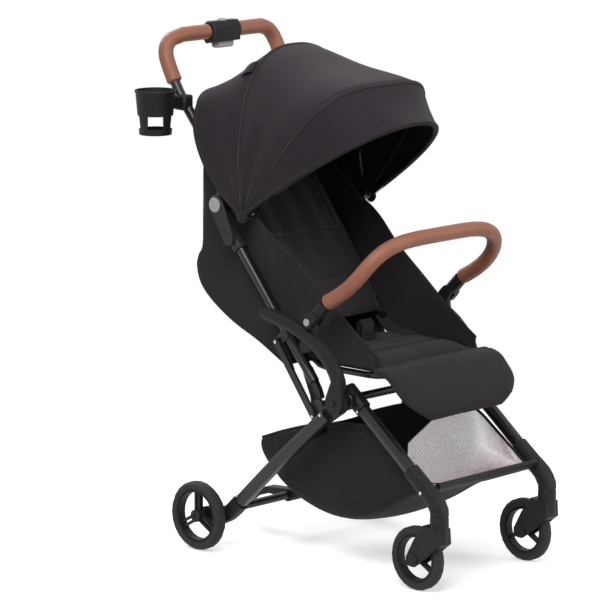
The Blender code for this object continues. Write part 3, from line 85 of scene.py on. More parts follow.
def mirrored(points):
    """The same places on the stroller's other side."""
    return [Vector((2 * REAR_AXLE.x - p.x, p.y, p.z)) for p in points]


print("rear axle in the frame:", tuple(round(c, 3) for c in place(0, (0, 0.073))))

# %% [markdown]
# The camera stands where the photographer stood: to the front and the right, a little above the
# handle, far away with a long lens, so that the wheels hardly shrink with distance.

# %% Camera
CAMERA_TURN = radians(46.37)
CAMERA_RISE = radians(10.43)
CAMERA_DISTANCE = 8.0
LENS_MM = 227.5
LOOK_AT = Vector((0.018, 0.15585, 0.5095))


def in_scene(name, data):
    """A new object that holds the data, in the scene."""
    made = bpy.data.objects.new(name, data)
    bpy.context.scene.collection.objects.link(made)
    return made


level = cos(CAMERA_RISE)
camera_back = Vector((-sin(CAMERA_TURN) * level, -cos(CAMERA_TURN) * level, sin(CAMERA_RISE)))
camera = in_scene("camera", bpy.data.cameras.new("camera"))
camera.data.lens = LENS_MM
camera.data.sensor_width = 36.0
camera.data.clip_end = 60.0
camera.location = LOOK_AT + camera_back * CAMERA_DISTANCE
camera.rotation_mode = "QUATERNION"
camera.rotation_quaternion = (-camera_back).to_track_quat("-Z", "Y")
bpy.context.scene.camera = camera
print("camera at", tuple(round(c, 2) for c in camera.location))

# %% [markdown]
# A shader is a sum of patterns. Writing it as Python arithmetic keeps it readable, so one small
# class stands for a socket and adds the Math nodes, and another holds the material being made.

# %% Shader arithmetic
class Wire:
    """A socket of a material, used in sums like a number."""

    def __init__(self, finish, socket):
        self.finish = finish
        self.socket = socket

    def reckon(self, operation, *terms):
        return self.finish.node("ShaderNodeMath", {"operation": operation}, dict(enumerate(terms)))

    def __add__(self, other):
        return self.reckon("ADD", self, other)

    def __mul__(self, other):
        return self.reckon("MULTIPLY", self, other)

    def __sub__(self, other):
        return self.reckon("SUBTRACT", self, other)

    def __rsub__(self, other):
        return self.reckon("SUBTRACT", other, self)

    def __gt__(self, other):
        return self.reckon("GREATER_THAN", self, other)

    def __lt__(self, other):
        return self.reckon("LESS_THAN", self, other)

    __radd__ = __add__
    __rmul__ = __mul__

    def sine(self):
        return self.reckon("SINE", self)

    def size(self):
        return self.reckon("ABSOLUTE", self)

    def larger(self, other):
        return self.reckon("MAXIMUM", self, other)

    def between(self, low, high):
        """0 at low, 1 at high and even in between, clamped."""
        return self.finish.node("ShaderNodeMapRange", {"clamp": True}, {0: self, 1: low, 2: high})


class Finish:
    """One material: a Principled shader and the patterns that feed it."""

    def __init__(self, name, **constants):
        self.material = bpy.data.materials.new(name)
        self.material.use_nodes = True
        self.tree = self.material.node_tree
        self.shader = self.tree.nodes["Principled BSDF"]
        for socket, value in constants.items():
            self.shader.inputs[socket.replace("_", " ")].default_value = value

    def feed(self, socket, value):
        if isinstance(value, Wire):
            self.tree.links.new(value.socket, socket)
        else:
            socket.default_value = value

    def node(self, kind, settings=None, values=None, output=0):
        made = self.tree.nodes.new(kind)
        for name, value in (settings or {}).items():
            setattr(made, name, value)
        for name, value in (values or {}).items():
            self.feed(made.inputs[name], value)
        return Wire(self, made.outputs[output])

    def shape(self, socket, value):
        self.feed(self.shader.inputs[socket], value)
        return self

    def where(self, kind="Object"):
        return self.node("ShaderNodeTexCoord", output=kind)

    def axes(self, kind="Object"):
        split = self.node("ShaderNodeSeparateXYZ", values={0: self.where(kind)})
        return [Wire(self, split.socket.node.outputs[i]) for i in range(3)]

    def clouds(self, scale, detail=2.0, roughness=0.5, kind="Object"):
        values = {"Vector": self.where(kind), "Scale": scale, "Detail": detail, "Roughness": roughness}
        return self.node("ShaderNodeTexNoise", values=values)

    def cells(self, scale, feature="F1", kind="Object"):
        values = {"Vector": self.where(kind), "Scale": scale}
        return self.node("ShaderNodeTexVoronoi", {"feature": feature}, values)

    def mix(self, share, a, b):
        """The colour b laid over a, by a share from 0 to 1."""
        settings = {"data_type": "RGBA", "clamp_factor": True}
        return self.node("ShaderNodeMix", settings, {0: share, 6: a, 7: b}, output=2)

    def bump(self, height, strength, depth):
        values = {"Height": height, "Strength": strength, "Distance": depth}
        return self.shape("Normal", self.node("ShaderNodeBump", values=values))


def colour(red, green, blue):
    return (red, green, blue, 1.0)


print("shader helper ready")

# %% [markdown]
# Powder coat on the tubes is satin: tiny orange-peel lumps soften every highlight. Moulded
# plastic is duller and has a fine spark-eroded grain. Both pick up faint scuffs, so roughness
# wanders a little from place to place instead of being one number.

# %% Rigid finishes
def tube_paint():
    made = Finish("satin_tube_paint", Metallic=0.2, Coat_Weight=0.10, Coat_Roughness=0.3,
                  Specular_IOR_Level=0.4)
    scuffs = made.clouds(9.0, 4.0, 0.6)
    peel = made.clouds(700.0, 2.0)
    made.shape("Base Color", made.mix(scuffs, colour(0.006, 0.006, 0.007), colour(0.012, 0.012, 0.013)))
    made.shape("Roughness", scuffs * 0.16 + 0.26)
    return made.bump(peel, 0.12, 0.0002).material


def moulded(name, dark, pale, roughness):
    """Fine-grained plastic: a sparkle of tiny pits under a slow drift of colour and gloss."""
    made = Finish(name, Specular_IOR_Level=0.20)
    drift = made.clouds(14.0, 3.0)
    grain = made.cells(1900.0)
    made.shape("Base Color", made.mix(drift * 0.7 + grain * 0.3, colour(*dark), colour(*pale)))
    made.shape("Roughness", drift * 0.14 + roughness)
    return made.bump(grain, 0.22, 0.00025)


def rubber():
    made = Finish("tyre_foam", Specular_IOR_Level=0.3)
    drift = made.clouds(22.0, 5.0, 0.65)
    skin = made.cells(1300.0)
    made.shape("Base Color", made.mix(drift, colour(0.010, 0.010, 0.011), colour(0.026, 0.026, 0.027)))
    made.shape("Roughness", drift * 0.2 + 0.62)
    return made.bump(skin * 0.6 + drift, 0.3, 0.0004).material


def bright_steel():
    made = Finish("bright_steel", Metallic=1.0)
    brushed = made.clouds(500.0, 3.0)
    made.shape("Base Color", made.mix(brushed, colour(0.42, 0.42, 0.43), colour(0.62, 0.62, 0.63)))
    made.shape("Roughness", brushed * 0.2 + 0.22)
    return made.bump(brushed, 0.1, 0.0001).material


TUBE_PAINT = tube_paint()
BLACK_PLASTIC = moulded("black_plastic_grain", (0.006, 0.006, 0.007), (0.014, 0.014, 0.016), 0.48).material
GREY_PLASTIC = moulded("grey_plastic_grain", (0.32, 0.32, 0.33), (0.43, 0.43, 0.44), 0.38).material
TYRE_FOAM = rubber()
STEEL = bright_steel()
print("rigid finishes:", [m.name for m in (TUBE_PAINT, BLACK_PLASTIC, GREY_PLASTIC, TYRE_FOAM, STEEL)])

# %% [markdown]
# The hinge housing carries a pale round cap in the same moulding, so its finish paints a disc by
# its distance from the hinge's axis, and only on the outer face.

# %% Hinge housing finish
HANDLE_HINGE = (-0.0065, 0.7275)
HINGE_CAP_R = 0.0168
HINGE_CAP_FACE = 0.1893


def hinge_plastic():
    made = moulded("hinge_plastic", (0.014, 0.014, 0.015), (0.030, 0.030, 0.032), 0.42)
    x, y, z = made.axes()
    centre = place(0.0, HANDLE_HINGE)
    across, up = y - centre.y, z - centre.z
    near = (across * across + up * up) < HINGE_CAP_R**2
    outside = (x - REAR_AXLE.x).size() > HINGE_CAP_FACE
    ring = (across * across + up * up) > (HINGE_CAP_R * 0.90) ** 2
    drift = made.clouds(30.0)
    grey = made.mix(drift, colour(0.29, 0.29, 0.295), colour(0.40, 0.40, 0.405))
    cap = made.mix(ring, grey, colour(0.11, 0.11, 0.115))
    body = made.mix(drift, colour(0.014, 0.014, 0.015), colour(0.030, 0.030, 0.032))
    return made.shape("Base Color", made.mix(near * outside, body, cap)).material


HINGE_PLASTIC = hinge_plastic()
print("hinge cap radius", HINGE_CAP_R * 1000, "mm")

# %% [markdown]
# Every CAD node gets its finish by the start of its name. Anything not listed is black plastic.

# %% Dress the rigid nodes
FINISH_OF = {
    TUBE_PAINT: ["rear_leg", "front_leg", "rear_cross_tube", "hub_cross_tube", "push_tube", "link_bar",
                 "bumper_tube", "handle_tube", "canopy_bow", "seat_frame", "backrest_frame"],
    GREY_PLASTIC: ["bumper_button", "safety_button", "fold_trigger"],
    TYRE_FOAM: ["rear_tyre", "front_tyre"],
    HINGE_PLASTIC: ["hinge_housing"],
}


def dress(node, finish):
    for slot in node.material_slots:
        slot.material = finish
    if not node.material_slots:
        node.data.materials.append(finish)


for name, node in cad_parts.items():
    chosen = [finish for finish, starts in FINISH_OF.items() if name.startswith(tuple(starts))]
    dress(node, chosen[0] if chosen else BLACK_PLASTIC)
print("dressed", len(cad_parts), "nodes")

# %% [markdown]
# Woven cloth needs a pattern that follows the threads, so each sheet has a UV map in metres and
# the weave is a product of two sine waves on it. A pad that was inflated has lost its map, so its
# weave reads the object's own coordinates. Heathering, dust and sheen lie over either one.

# %% Cloth finishes
THREAD = 0.0011
WEAVE_DEPTH = 0.0012


def weave_height(made, kind):
    x, y, z = made.axes(kind)
    turns = 2 * pi / THREAD
    if kind == "UV":
        return (x * turns).sine() * (y * turns).sine()
    return (x * turns).sine() * ((y + z) * (turns * 0.7071)).sine()


def woven(name, dark, pale, kind="UV", sheen=0.10, creases=0.0016):
    """Plain-woven polyester: threads, heathered yarn, soft creases and a dusty sheen."""
    made = Finish(name, Sheen_Weight=sheen, Sheen_Roughness=0.45, Specular_IOR_Level=0.12)
    made.shader.inputs["Sheen Tint"].default_value = colour(0.75, 0.70, 0.75)
    threads = weave_height(made, kind)
    yarn = made.clouds(420.0, 2.0)
    drift = made.clouds(6.0, 4.0, 0.6)
    slack = made.clouds(19.0, 3.0, 0.55)
    share = yarn * 0.45 + drift * 0.45 + threads * 0.12
    made.shape("Base Color", made.mix(share, colour(*dark), colour(*pale)))
    made.shape("Roughness", yarn * 0.12 + 0.78)
    height = threads * 0.10 + yarn * 0.12 + slack * (creases / WEAVE_DEPTH)
    return made.bump(height, 0.55, WEAVE_DEPTH).material


CANOPY_DARK, CANOPY_PALE = (0.0145, 0.0115, 0.0148), (0.0325, 0.0268, 0.0335)
SEAT_DARK, SEAT_PALE = (0.0125, 0.0108, 0.0132), (0.0310, 0.0276, 0.0325)
CANOPY_WEAVE = woven("canopy_weave", CANOPY_DARK, CANOPY_PALE)
LINER_WEAVE = woven("seat_side_weave", SEAT_DARK, SEAT_PALE, creases=0.003)
PAD_WEAVE = woven("cushion_weave", SEAT_DARK, SEAT_PALE, "Object", creases=0.003)
TRIM_WEAVE = woven("canopy_trim_weave", CANOPY_DARK, CANOPY_PALE, "Object")
BINDING = woven("edge_binding", (0.011, 0.010, 0.011), (0.028, 0.026, 0.028), "Object", 0.12)
print("cloth finishes ready, thread", THREAD * 1000, "mm")

# %% [markdown]
# One wall of the basket, the vent below the canopy and the window behind the child's head are
# knitted mesh. The holes are really open in the finish: a slanted grid of them sets the alpha, so
# light and floor show through. The basket is one cloth, and its finish is close and black
# wherever it isn't mesh. On the near wall, which is really the same mesh, that black is painted
# shade for the mesh seen against the basket's shaded inside.

# %% Mesh cloth
MESH_PITCH = 0.0026
MESH_WALL_X = 0.100
MESH_EDGE_Z = 0.205
MESH_SLANT_Y, MESH_SLANT_Z = 0.66, 0.75


def open_mesh(name, dark, pale, hole, closed_behind=None):
    """Knitted mesh, its holes smaller as hole grows. Behind one side-view y it is close and black, and on the near
    side the black is painted shade.
    """
    made = Finish(name, Sheen_Weight=0.08, Sheen_Roughness=0.5, Specular_IOR_Level=0.12)
    u, v, _ = made.axes("UV")
    turns = 2 * pi / MESH_PITCH
    lattice = (u * turns + v * turns * 0.5).sine() * (v * turns * 0.87).sine()
    solid = lattice < hole
    drift = made.clouds(16.0, 3.0)
    yarn = made.mix(drift * 0.6 + lattice * 0.2, colour(*dark), colour(*pale))
    if closed_behind is not None:
        x, y, z = made.axes()
        front = REAR_AXLE.y + closed_behind
        slanted = (y * MESH_SLANT_Y + z * MESH_SLANT_Z) > front * MESH_SLANT_Y + MESH_EDGE_Z * MESH_SLANT_Z
        # the near-side test, x below MESH_WALL_X, makes the near wall black: painted shade for the mesh seen against
        # the shaded inside
        closed = (y > front).larger(x < REAR_AXLE.x + MESH_WALL_X).larger(slanted)
        # black stands for close cloth, and on the near wall for painted shade
        black = made.mix(drift, colour(0.006, 0.0055, 0.0065), colour(0.015, 0.0135, 0.0155))
        solid = solid.larger(closed)
        yarn = made.mix(closed, yarn, black)
    made.shape("Base Color", yarn)
    made.shape("Roughness", drift * 0.1 + 0.75)
    made.shape("Alpha", solid)
    return made.bump(lattice, 0.5, 0.0006).material


BASKET_MESH = open_mesh("basket_mesh", (0.54, 0.31, 0.375), (0.72, 0.45, 0.525), hole=-0.03,
                        closed_behind=-0.245)
WINDOW_MESH = open_mesh("window_mesh", (0.020, 0.017, 0.018), (0.050, 0.043, 0.043), hole=0.55)
print("mesh finishes ready, pitch", MESH_PITCH * 1000, "mm")

# %% [markdown]
# The grips are tan leatherette. Grain is a net of fine cells with soft creases between them, the
# crease bottoms are painted darker as painted shade, and hands have polished it a little in long
# patches.

# %% Leather and thread
def leatherette():
    made = Finish("tan_leatherette", Specular_IOR_Level=0.4, Coat_Weight=0.08, Coat_Roughness=0.4)
    net = made.cells(620.0, "DISTANCE_TO_EDGE").between(0.0, 0.32)
    rub = made.clouds(15.0, 4.0, 0.6)
    warm = made.mix(rub, colour(0.29, 0.102, 0.053), colour(0.39, 0.150, 0.084))
    # the darker brown in the crease bottoms is painted shade
    made.shape("Base Color", made.mix(net * 0.75 + 0.25, colour(0.17, 0.060, 0.034), warm))
    made.shape("Roughness", 0.62 - rub * 0.2)
    return made.bump(net + rub * 0.4, 0.35, 0.0004).material


def twist(name, dark, pale):
    """Sewing thread: two plies wound round each other."""
    made = Finish(name, Sheen_Weight=0.3, Specular_IOR_Level=0.4)
    x, y, z = made.axes()
    ply = ((x + y + z) * 9000.0).sine()
    made.shape("Base Color", made.mix(ply * 0.5 + 0.5, colour(*dark), colour(*pale)))
    return made.shape("Roughness", ply * 0.1 + 0.6).material


def webbing_weave():
    made = Finish("webbing_weave", Sheen_Weight=0.25, Specular_IOR_Level=0.4)
    x, y, z = made.axes()
    ribs = (x * 4200.0).sine() * (z * 2600.0).sine()
    drift = made.clouds(60.0, 3.0)
    share = ribs * 0.3 + drift * 0.5
    made.shape("Base Color", made.mix(share, colour(0.012, 0.012, 0.013), colour(0.032, 0.031, 0.033)))
    made.shape("Roughness", drift * 0.1 + 0.6)
    return made.bump(ribs, 0.5, 0.0005).material


LEATHERETTE = leatherette()
DARK_THREAD = twist("dark_thread", (0.020, 0.019, 0.020), (0.060, 0.056, 0.060))
TAN_THREAD = twist("tan_thread", (0.16, 0.055, 0.03), (0.34, 0.13, 0.08))
WEBBING = webbing_weave()
print("leather grain, threads and webbing ready")

# %% [markdown]
# Most soft pieces start as a grid of points, and most trims as a tube along a line. Two builders
# cover both, over a few plain ones that curve a line and skin a stack of rings. The grid's map is
# measured along its own rows and columns, in metres, so a weave on it keeps one size everywhere.

# %% Lines and plain meshes
def smooth_line(points, steps=6):
    """A curve through the points, by Catmull-Rom spans."""
    points = [Vector(p) for p in points]
    ends = [points[0] * 2 - points[1]] + points + [points[-1] * 2 - points[-2]]
    line = []
    for a, b, c, d in zip(ends, ends[1:], ends[2:], ends[3:]):
        for k in range(steps):
            t = k / steps
            line.append(0.5 * (b * 2 + (c - a) * t + (a * 2 - b * 5 + c * 4 - d) * t**2
                               + (b * 3 - a - c * 3 + d) * t**3))
    return line + [points[-1]]


def side_line(x, places, steps=6):
    return smooth_line([place(x, yz) for yz in places], steps)


def travelled(points):
    """How far along a line each of its points is."""
    far = [0.0]
    for a, b in zip(points, points[1:]):
        far.append(far[-1] + (b - a).length)
    return far


def new_piece(name, mesh, finish):
    piece = in_scene(name, mesh)
    mesh.materials.append(finish)
    mesh.shade_smooth()
    return piece


def settled(piece):
    """Turns a piece and its live modifiers into one plain mesh."""
    graph = bpy.context.evaluated_depsgraph_get()
    made = bpy.data.meshes.new_from_object(piece.evaluated_get(graph))
    old = piece.data
    piece.modifiers.clear()
    piece.data = made
    made.name = piece.name
    if old.users == 0:
        bpy.data.meshes.remove(old)
    return piece


def skinned(name, rings, faces, finish, merge=False, split_ends=False):
    """One closed mesh over rings of points, its faces turned outwards."""
    mesh = bpy.data.meshes.new(name)
    mesh.from_pydata([p for ring in rings for p in ring], [], faces)
    bm = bmesh.new()
    bm.from_mesh(mesh)
    if merge:
        bmesh.ops.remove_doubles(bm, verts=bm.verts, dist=1e-6)
    if split_ends:
        bmesh.ops.triangulate(bm, faces=[f for f in bm.faces if len(f.verts) > 4])
    bmesh.ops.recalc_face_normals(bm, faces=bm.faces)
    bm.to_mesh(mesh)
    bm.free()
    return new_piece(name, mesh, finish)


def ring_quads(count, sides):
    return [(r * sides + k, r * sides + (k + 1) % sides, (r + 1) * sides + (k + 1) % sides, (r + 1) * sides + k)
            for r in range(count - 1) for k in range(sides)]


def lofted(name, rings, finish, split_ends=False):
    """A skin over rings of points, closed at both ends."""
    sides = len(rings[0])
    last = (len(rings) - 1) * sides
    ends = [tuple(reversed(range(sides))), tuple(range(last, last + sides))]
    return skinned(name, rings, ring_quads(len(rings), sides) + ends, finish, split_ends=split_ends)


def bell(offset, width):
    """1 where the offset is 0, and next to nothing beyond two widths."""
    return 2.718 ** (-((offset / width) ** 2))


print("plain builders ready")

# %% Sheets and tubes
def sheet_piece(name, rows, finish, thickness=0.0014):
    """Cloth through a grid of points, with its map in metres and its thickness about its middle."""
    wide = len(rows[0])
    mesh = bpy.data.meshes.new(name)
    corners = [(r * wide + i, r * wide + i + 1, (r + 1) * wide + i + 1, (r + 1) * wide + i)
               for r in range(len(rows) - 1) for i in range(wide - 1)]
    mesh.from_pydata([p for row in rows for p in row], [], corners)
    across = travelled(rows[len(rows) // 2])
    down = travelled([row[wide // 2] for row in rows])
    layer = mesh.uv_layers.new(name="UVMap")
    for loop in mesh.loops:
        r, i = divmod(loop.vertex_index, wide)
        layer.data[loop.index].uv = (across[i], down[r])
    piece = new_piece(name, mesh, finish)
    solidify = piece.modifiers.new("cloth", "SOLIDIFY")
    solidify.thickness = thickness
    solidify.offset = 0.0
    solidify.use_even_offset = False
    piece["cut_width"], piece["cut_length"] = max(across), max(down)
    piece["cut_area"] = sum(face.area for face in mesh.polygons)
    return settled(piece)


def frames_along(line):
    found = []
    for i, here in enumerate(line):
        ahead = (line[min(i + 1, len(line) - 1)] - line[max(i - 1, 0)]).normalized()
        if found:
            across = found[-1][0] - ahead * found[-1][0].dot(ahead)
        else:
            start = Vector((0, 1, 0)) if abs(ahead.x) > 0.9 else Vector((1, 0, 0))
            across = start - ahead * ahead.dot(start)
        across.normalize()
        found.append((across, ahead.cross(across)))
    return found


def tube_piece(name, line, radius, finish, sides=10, flat=1.0, round_ends=True):
    """A closed tube along a line. radius is a number, or a function of the share of the way."""
    far = travelled(line)
    shares = [d / far[-1] for d in far]
    size = radius if callable(radius) else (lambda share: radius)
    rings = []
    for here, (across, up), share in zip(line, frames_along(line), shares):
        r = size(share)
        rings.append([here + across * r * cos(2 * pi * k / sides) + up * r * flat * sin(2 * pi * k / sides)
                      for k in range(sides)])
    if round_ends:
        for end, inner in ((0, 1), (-1, -2)):
            out = (line[end] - line[inner]).normalized() * size(shares[end]) * 0.45
            cap = [line[end] + out + (p - line[end]) * 0.62 for p in rings[end]]
            rings.insert(0, cap) if end == 0 else rings.append(cap)
    return lofted(name, rings, finish)


print("sheet and tube builders ready")

# %% [markdown]
# Stitches repeat along a seam, so Geometry Nodes make them: the seam line is cut into even steps,
# a short thread is set at each step along the line's direction, and the copies become real mesh.

# %% Helpers for trees
def node_tree(name, inputs):
    tree = bpy.data.node_groups.new(name, "GeometryNodeTree")
    tree.interface.new_socket("Geometry", in_out="INPUT", socket_type="NodeSocketGeometry")
    sockets = {}
    for label, kind in inputs.items():
        sockets[label] = tree.interface.new_socket(label, in_out="INPUT", socket_type=kind)
    tree.interface.new_socket("Geometry", in_out="OUTPUT", socket_type="NodeSocketGeometry")
    return tree, {label: socket.identifier for label, socket in sockets.items()}


def add(tree, kind, values=None, **settings):
    made = tree.nodes.new(kind)
    for name, value in settings.items():
        setattr(made, name, value)
    for name, value in (values or {}).items():
        if isinstance(value, bpy.types.NodeSocket):
            tree.links.new(value, made.inputs[name])
        else:
            made.inputs[name].default_value = value
    return made


def set_out(tree, given, points, shape, facing, **scale):
    """Ends a tree: copies of a shape on its points, each turned to face a way, made real."""
    turned = add(tree, "FunctionNodeAlignRotationToVector", {"Vector": facing}, axis="Z")
    values = {"Points": points, "Instance": shape, "Rotation": turned.outputs["Rotation"], **scale}
    copies = add(tree, "GeometryNodeInstanceOnPoints", values)
    real = add(tree, "GeometryNodeRealizeInstances", {"Geometry": copies.outputs["Instances"]})
    done = add(tree, "GeometryNodeSetMaterial",
               {"Geometry": real.outputs["Geometry"], "Material": given["Finish"]})
    add(tree, "NodeGroupOutput", {"Geometry": done.outputs["Geometry"]})


def with_tree(piece, tree, inputs, values):
    """The piece run through a tree whose inputs are set by their identifiers, as a plain mesh."""
    modifier = piece.modifiers.new(tree.name, "NODES")
    modifier.node_group = tree
    for label, value in values.items():
        modifier[inputs[label]] = value
    return settled(piece)


print("tree helpers ready")

# %% A stitch tree
def stitch_tree():
    tree, names = node_tree("stitches", {"Pitch": "NodeSocketFloat", "Length": "NodeSocketFloat",
                                         "Thread": "NodeSocketFloat", "Finish": "NodeSocketMaterial"})
    given = add(tree, "NodeGroupInput").outputs
    seam = add(tree, "GeometryNodeMeshToCurve", {"Mesh": given["Geometry"]})
    steps = add(tree, "GeometryNodeResampleCurve", {"Curve": seam.outputs["Curve"], "Length": given["Pitch"]},
                mode="LENGTH")
    thread = add(tree, "GeometryNodeMeshCylinder",
                 {"Vertices": 5, "Radius": given["Thread"], "Depth": given["Length"]})
    ahead = add(tree, "GeometryNodeInputTangent")
    set_out(tree, given, steps.outputs["Curve"], thread.outputs["Mesh"], ahead.outputs["Tangent"])
    return tree, names


STITCH_TREE, STITCH_INPUTS = stitch_tree()


def stitches(name, lines, finish, pitch=0.0042, length=0.0028, thread=0.00042):
    """Rows of stitches along the lines, as one plain mesh."""
    mesh = bpy.data.meshes.new(name)
    points, edges = [], []
    for line in lines:
        edges += [(len(points) + i, len(points) + i + 1) for i in range(len(line) - 1)]
        points += line
    mesh.from_pydata(points, edges, [])
    piece = in_scene(name, mesh)
    values = {"Pitch": pitch, "Length": length, "Thread": thread, "Finish": finish}
    return with_tree(piece, STITCH_TREE, STITCH_INPUTS, values)


print("stitch tree inputs:", STITCH_INPUTS)

# %% [markdown]
# The CAD's round tubes and mouldings are faceted meshes. A small tree on each rigid node merges
# its loose triangles and shades across the shallow edges only, so a tube looks round and a real
# corner stays sharp. The mesh of the node itself isn't touched.

# %% Round off the shading
ROUND_EDGE = radians(40.0)
TUBE_EDGE = radians(66.0)
SAME_POINT = 0.00002


def shading_tree():
    tree, names = node_tree("round_shading", {"Edge": "NodeSocketFloat"})
    given = add(tree, "NodeGroupInput").outputs
    merged = add(tree, "GeometryNodeMergeByDistance", {"Geometry": given["Geometry"], "Distance": SAME_POINT})
    plain = add(tree, "GeometryNodeRemoveAttribute", {"Geometry": merged.outputs[0], "Name": "custom_normal"})
    soft = add(tree, "GeometryNodeSetShadeSmooth", {0: plain.outputs[0], "Shade Smooth": True}, domain="FACE")
    angle = add(tree, "GeometryNodeInputMeshEdgeAngle").outputs["Unsigned Angle"]
    sharp = add(tree, "ShaderNodeMath", {0: angle, 1: given["Edge"]}, operation="GREATER_THAN")
    done = add(tree, "GeometryNodeSetShadeSmooth",
               {0: soft.outputs[0], "Selection": sharp.outputs[0], "Shade Smooth": False}, domain="EDGE")
    add(tree, "NodeGroupOutput", {"Geometry": done.outputs[0]})
    return tree, names


SHADING_TREE, SHADING_INPUTS = shading_tree()
TUBES = ("push_tube", "bumper_tube", "handle_tube", "canopy_bow", "rear_cross_tube", "hub_cross_tube",
         "backrest_frame", "seat_frame")
for name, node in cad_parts.items():
    rounded = node.modifiers.new("round_shading", "NODES")
    rounded.node_group = SHADING_TREE
    rounded[SHADING_INPUTS["Edge"]] = TUBE_EDGE if name.startswith(TUBES) else ROUND_EDGE
print("round shading on", len(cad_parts), "nodes")

# %% [markdown]
# ## The canopy
# Each bow is a superellipse in a plane through one pivot line. Cloth drawn from bow to bow sags
# a little between them. One function gives any point of the cloth, so the panels, the seams and
# the stitches all lie on the same surface.

# %% Canopy surface
CANOPY_PIVOT = (-0.0905, 0.714)
CANOPY_HALF_WIDTH = 0.1965
CLOTH_LIFT = 0.0038
# each bow: its turn from level, its reach from the pivot, and how square its arch is
BRIM_BOW = (radians(146.7), 0.366, 2.15)
MID_BOW = (radians(127.8), 0.346, 3.7)
REAR_BOW = (radians(83.0), 0.336, 2.45)
REAR_EDGE = (radians(54.0), 0.297, 5.0)
REAR_FLARE = radians(28.0)
BOW_START = 0.035
CANOPY_COLUMNS = 96
SHOULDER_SINE = 0.7071
MEAN_REACH, MEAN_HALF_WIDTH = 0.34, 0.20


def bow_turns(columns=CANOPY_COLUMNS):
    return [BOW_START + (pi - 2 * BOW_START) * i / columns for i in range(columns + 1)]


def bow_point(angle, reach, blend, half_width, turn):
    """A point of a bow, turn of the way round it from the left pivot, at 0, to the right, at pi."""
    c, s = cos(turn), sin(turn)
    size = (abs(c) ** blend + abs(s) ** blend) ** (-1 / blend)
    return place(half_width * size * c, toward(CANOPY_PIVOT, angle, reach * size * s))


def canopy_point(low, high, k, turn, sag=0.0, flare=0.0, lift=0.0, pucker=0.0):
    """A point of the cloth between two bows, k of the way from the low one to the high one."""
    angle = low[0] + (high[0] - low[0]) * k
    reach = low[1] + (high[1] - low[1]) * k + CLOTH_LIFT - sag * sin(pi * k)
    blend = low[2] + (high[2] - low[2]) * k
    fall = flare * (1 - k) * (1 - min(1.0, sin(turn) / SHOULDER_SINE)) ** 0.8
    proud = lift + pucker * (1 - sin(turn)) ** 1.5 * sin(3 * pi * k) * sin(pi * k)
    half_width = CANOPY_HALF_WIDTH * (1 + proud / MEAN_HALF_WIDTH)
    return bow_point(angle - fall, reach * (1 + proud / MEAN_REACH), blend, half_width, turn)


def canopy_panel(name, low, high, rows, sag, flare=0.0, pucker=0.004):
    grid = [[canopy_point(low, high, r / rows, turn, sag, flare, 0.0, pucker) for turn in bow_turns()]
            for r in range(rows + 1)]
    return sheet_piece(name, grid, CANOPY_WEAVE)


MID_SAG, BRIM_SAG, REAR_SAG = 0.031, 0.013, 0.020
canopy_rear = canopy_panel("canopy_rear_cloth", REAR_EDGE, REAR_BOW, 20, REAR_SAG, REAR_FLARE)
canopy_mid = canopy_panel("canopy_mid_cloth", REAR_BOW, MID_BOW, 28, MID_SAG)
canopy_brim = canopy_panel("canopy_brim_cloth", MID_BOW, BRIM_BOW, 20, BRIM_SAG, pucker=0.0)
canopy_cloths = (canopy_rear, canopy_mid, canopy_brim)
print("canopy cloth, square metres:", [round(cloth["cut_area"], 3) for cloth in canopy_cloths])

# %% [markdown]
# The seams over the middle and rear bows are felled: a narrow band of doubled cloth stands proud
# and two rows of stitches hold it. The brim's edge is turned round a soft cord.

# %% Canopy trims
def bow_line(low, high, k, lift, columns=CANOPY_COLUMNS, **more):
    return [canopy_point(low, high, k, turn, lift=lift, **more) for turn in bow_turns(columns)]


def seam_band(name, low, high, ks, lift, **more):
    rows = [bow_line(low, high, k, lift if 0 < n < len(ks) - 1 else 0.0, **more) for n, k in enumerate(ks)]
    return sheet_piece(name, rows, CANOPY_WEAVE, 0.0008)


def bow_stitches(name, low, high, ks, lift, **more):
    return stitches(name, [bow_line(low, high, k, lift, **more) for k in ks], DARK_THREAD)


brim_span, mid_span, rear_span = (MID_BOW, BRIM_BOW), (REAR_BOW, MID_BOW), (REAR_EDGE, REAR_BOW)
mid_band = seam_band("canopy_mid_seam", *brim_span, (-0.01, 0.0, 0.06, 0.08), 0.0020, sag=BRIM_SAG)
rear_band = seam_band("canopy_rear_seam", *mid_span, (-0.006, 0.0, 0.022, 0.030), 0.0016, sag=MID_SAG)
brim_cord = tube_piece("canopy_brim_binding", bow_line(*brim_span, 1.0, 0.0), 0.0036, TRIM_WEAVE, 10)
rear_hem = tube_piece("canopy_rear_hem", bow_line(*rear_span, 0.0, 0.0, flare=REAR_FLARE), 0.0026,
                      TRIM_WEAVE, 8)
mid_stitches = bow_stitches("canopy_mid_stitches", *brim_span, (0.012, 0.052), 0.0027, sag=BRIM_SAG)
rear_stitches = bow_stitches("canopy_rear_stitches", *mid_span, (0.004, 0.018), 0.0022, sag=MID_SAG)
brim_stitches = bow_stitches("canopy_brim_stitches", *brim_span, (0.90, 0.95), 0.0011, sag=BRIM_SAG)
hem_stitches = bow_stitches("canopy_hem_stitches", *rear_span, (0.05,), 0.0011, sag=REAR_SAG,
                            flare=REAR_FLARE)
print("seams, hem and stitches made")

# %% [markdown]
# Each bow runs in its own tunnel, and the three nest at the pivot. A pull tab sits on the rear
# cloth, and a cloth button covers the pivot on each side.

# %% Tunnels, pull tab and pivot covers
TUNNEL_HALF_WIDTH, TUNNEL_NESTING, TUNNEL_RADIUS = 0.1895, 0.0062, 0.0041


def bow_tunnel(name, bow, layer):
    """The cloth tunnel that a bow's wire runs in, on the inside of the canopy."""
    half_width = TUNNEL_HALF_WIDTH - layer * TUNNEL_NESTING
    line = [bow_point(*bow, half_width, turn) for turn in bow_turns(64)[5:-5]]
    return tube_piece(name, line, TUNNEL_RADIUS, TRIM_WEAVE, 10)


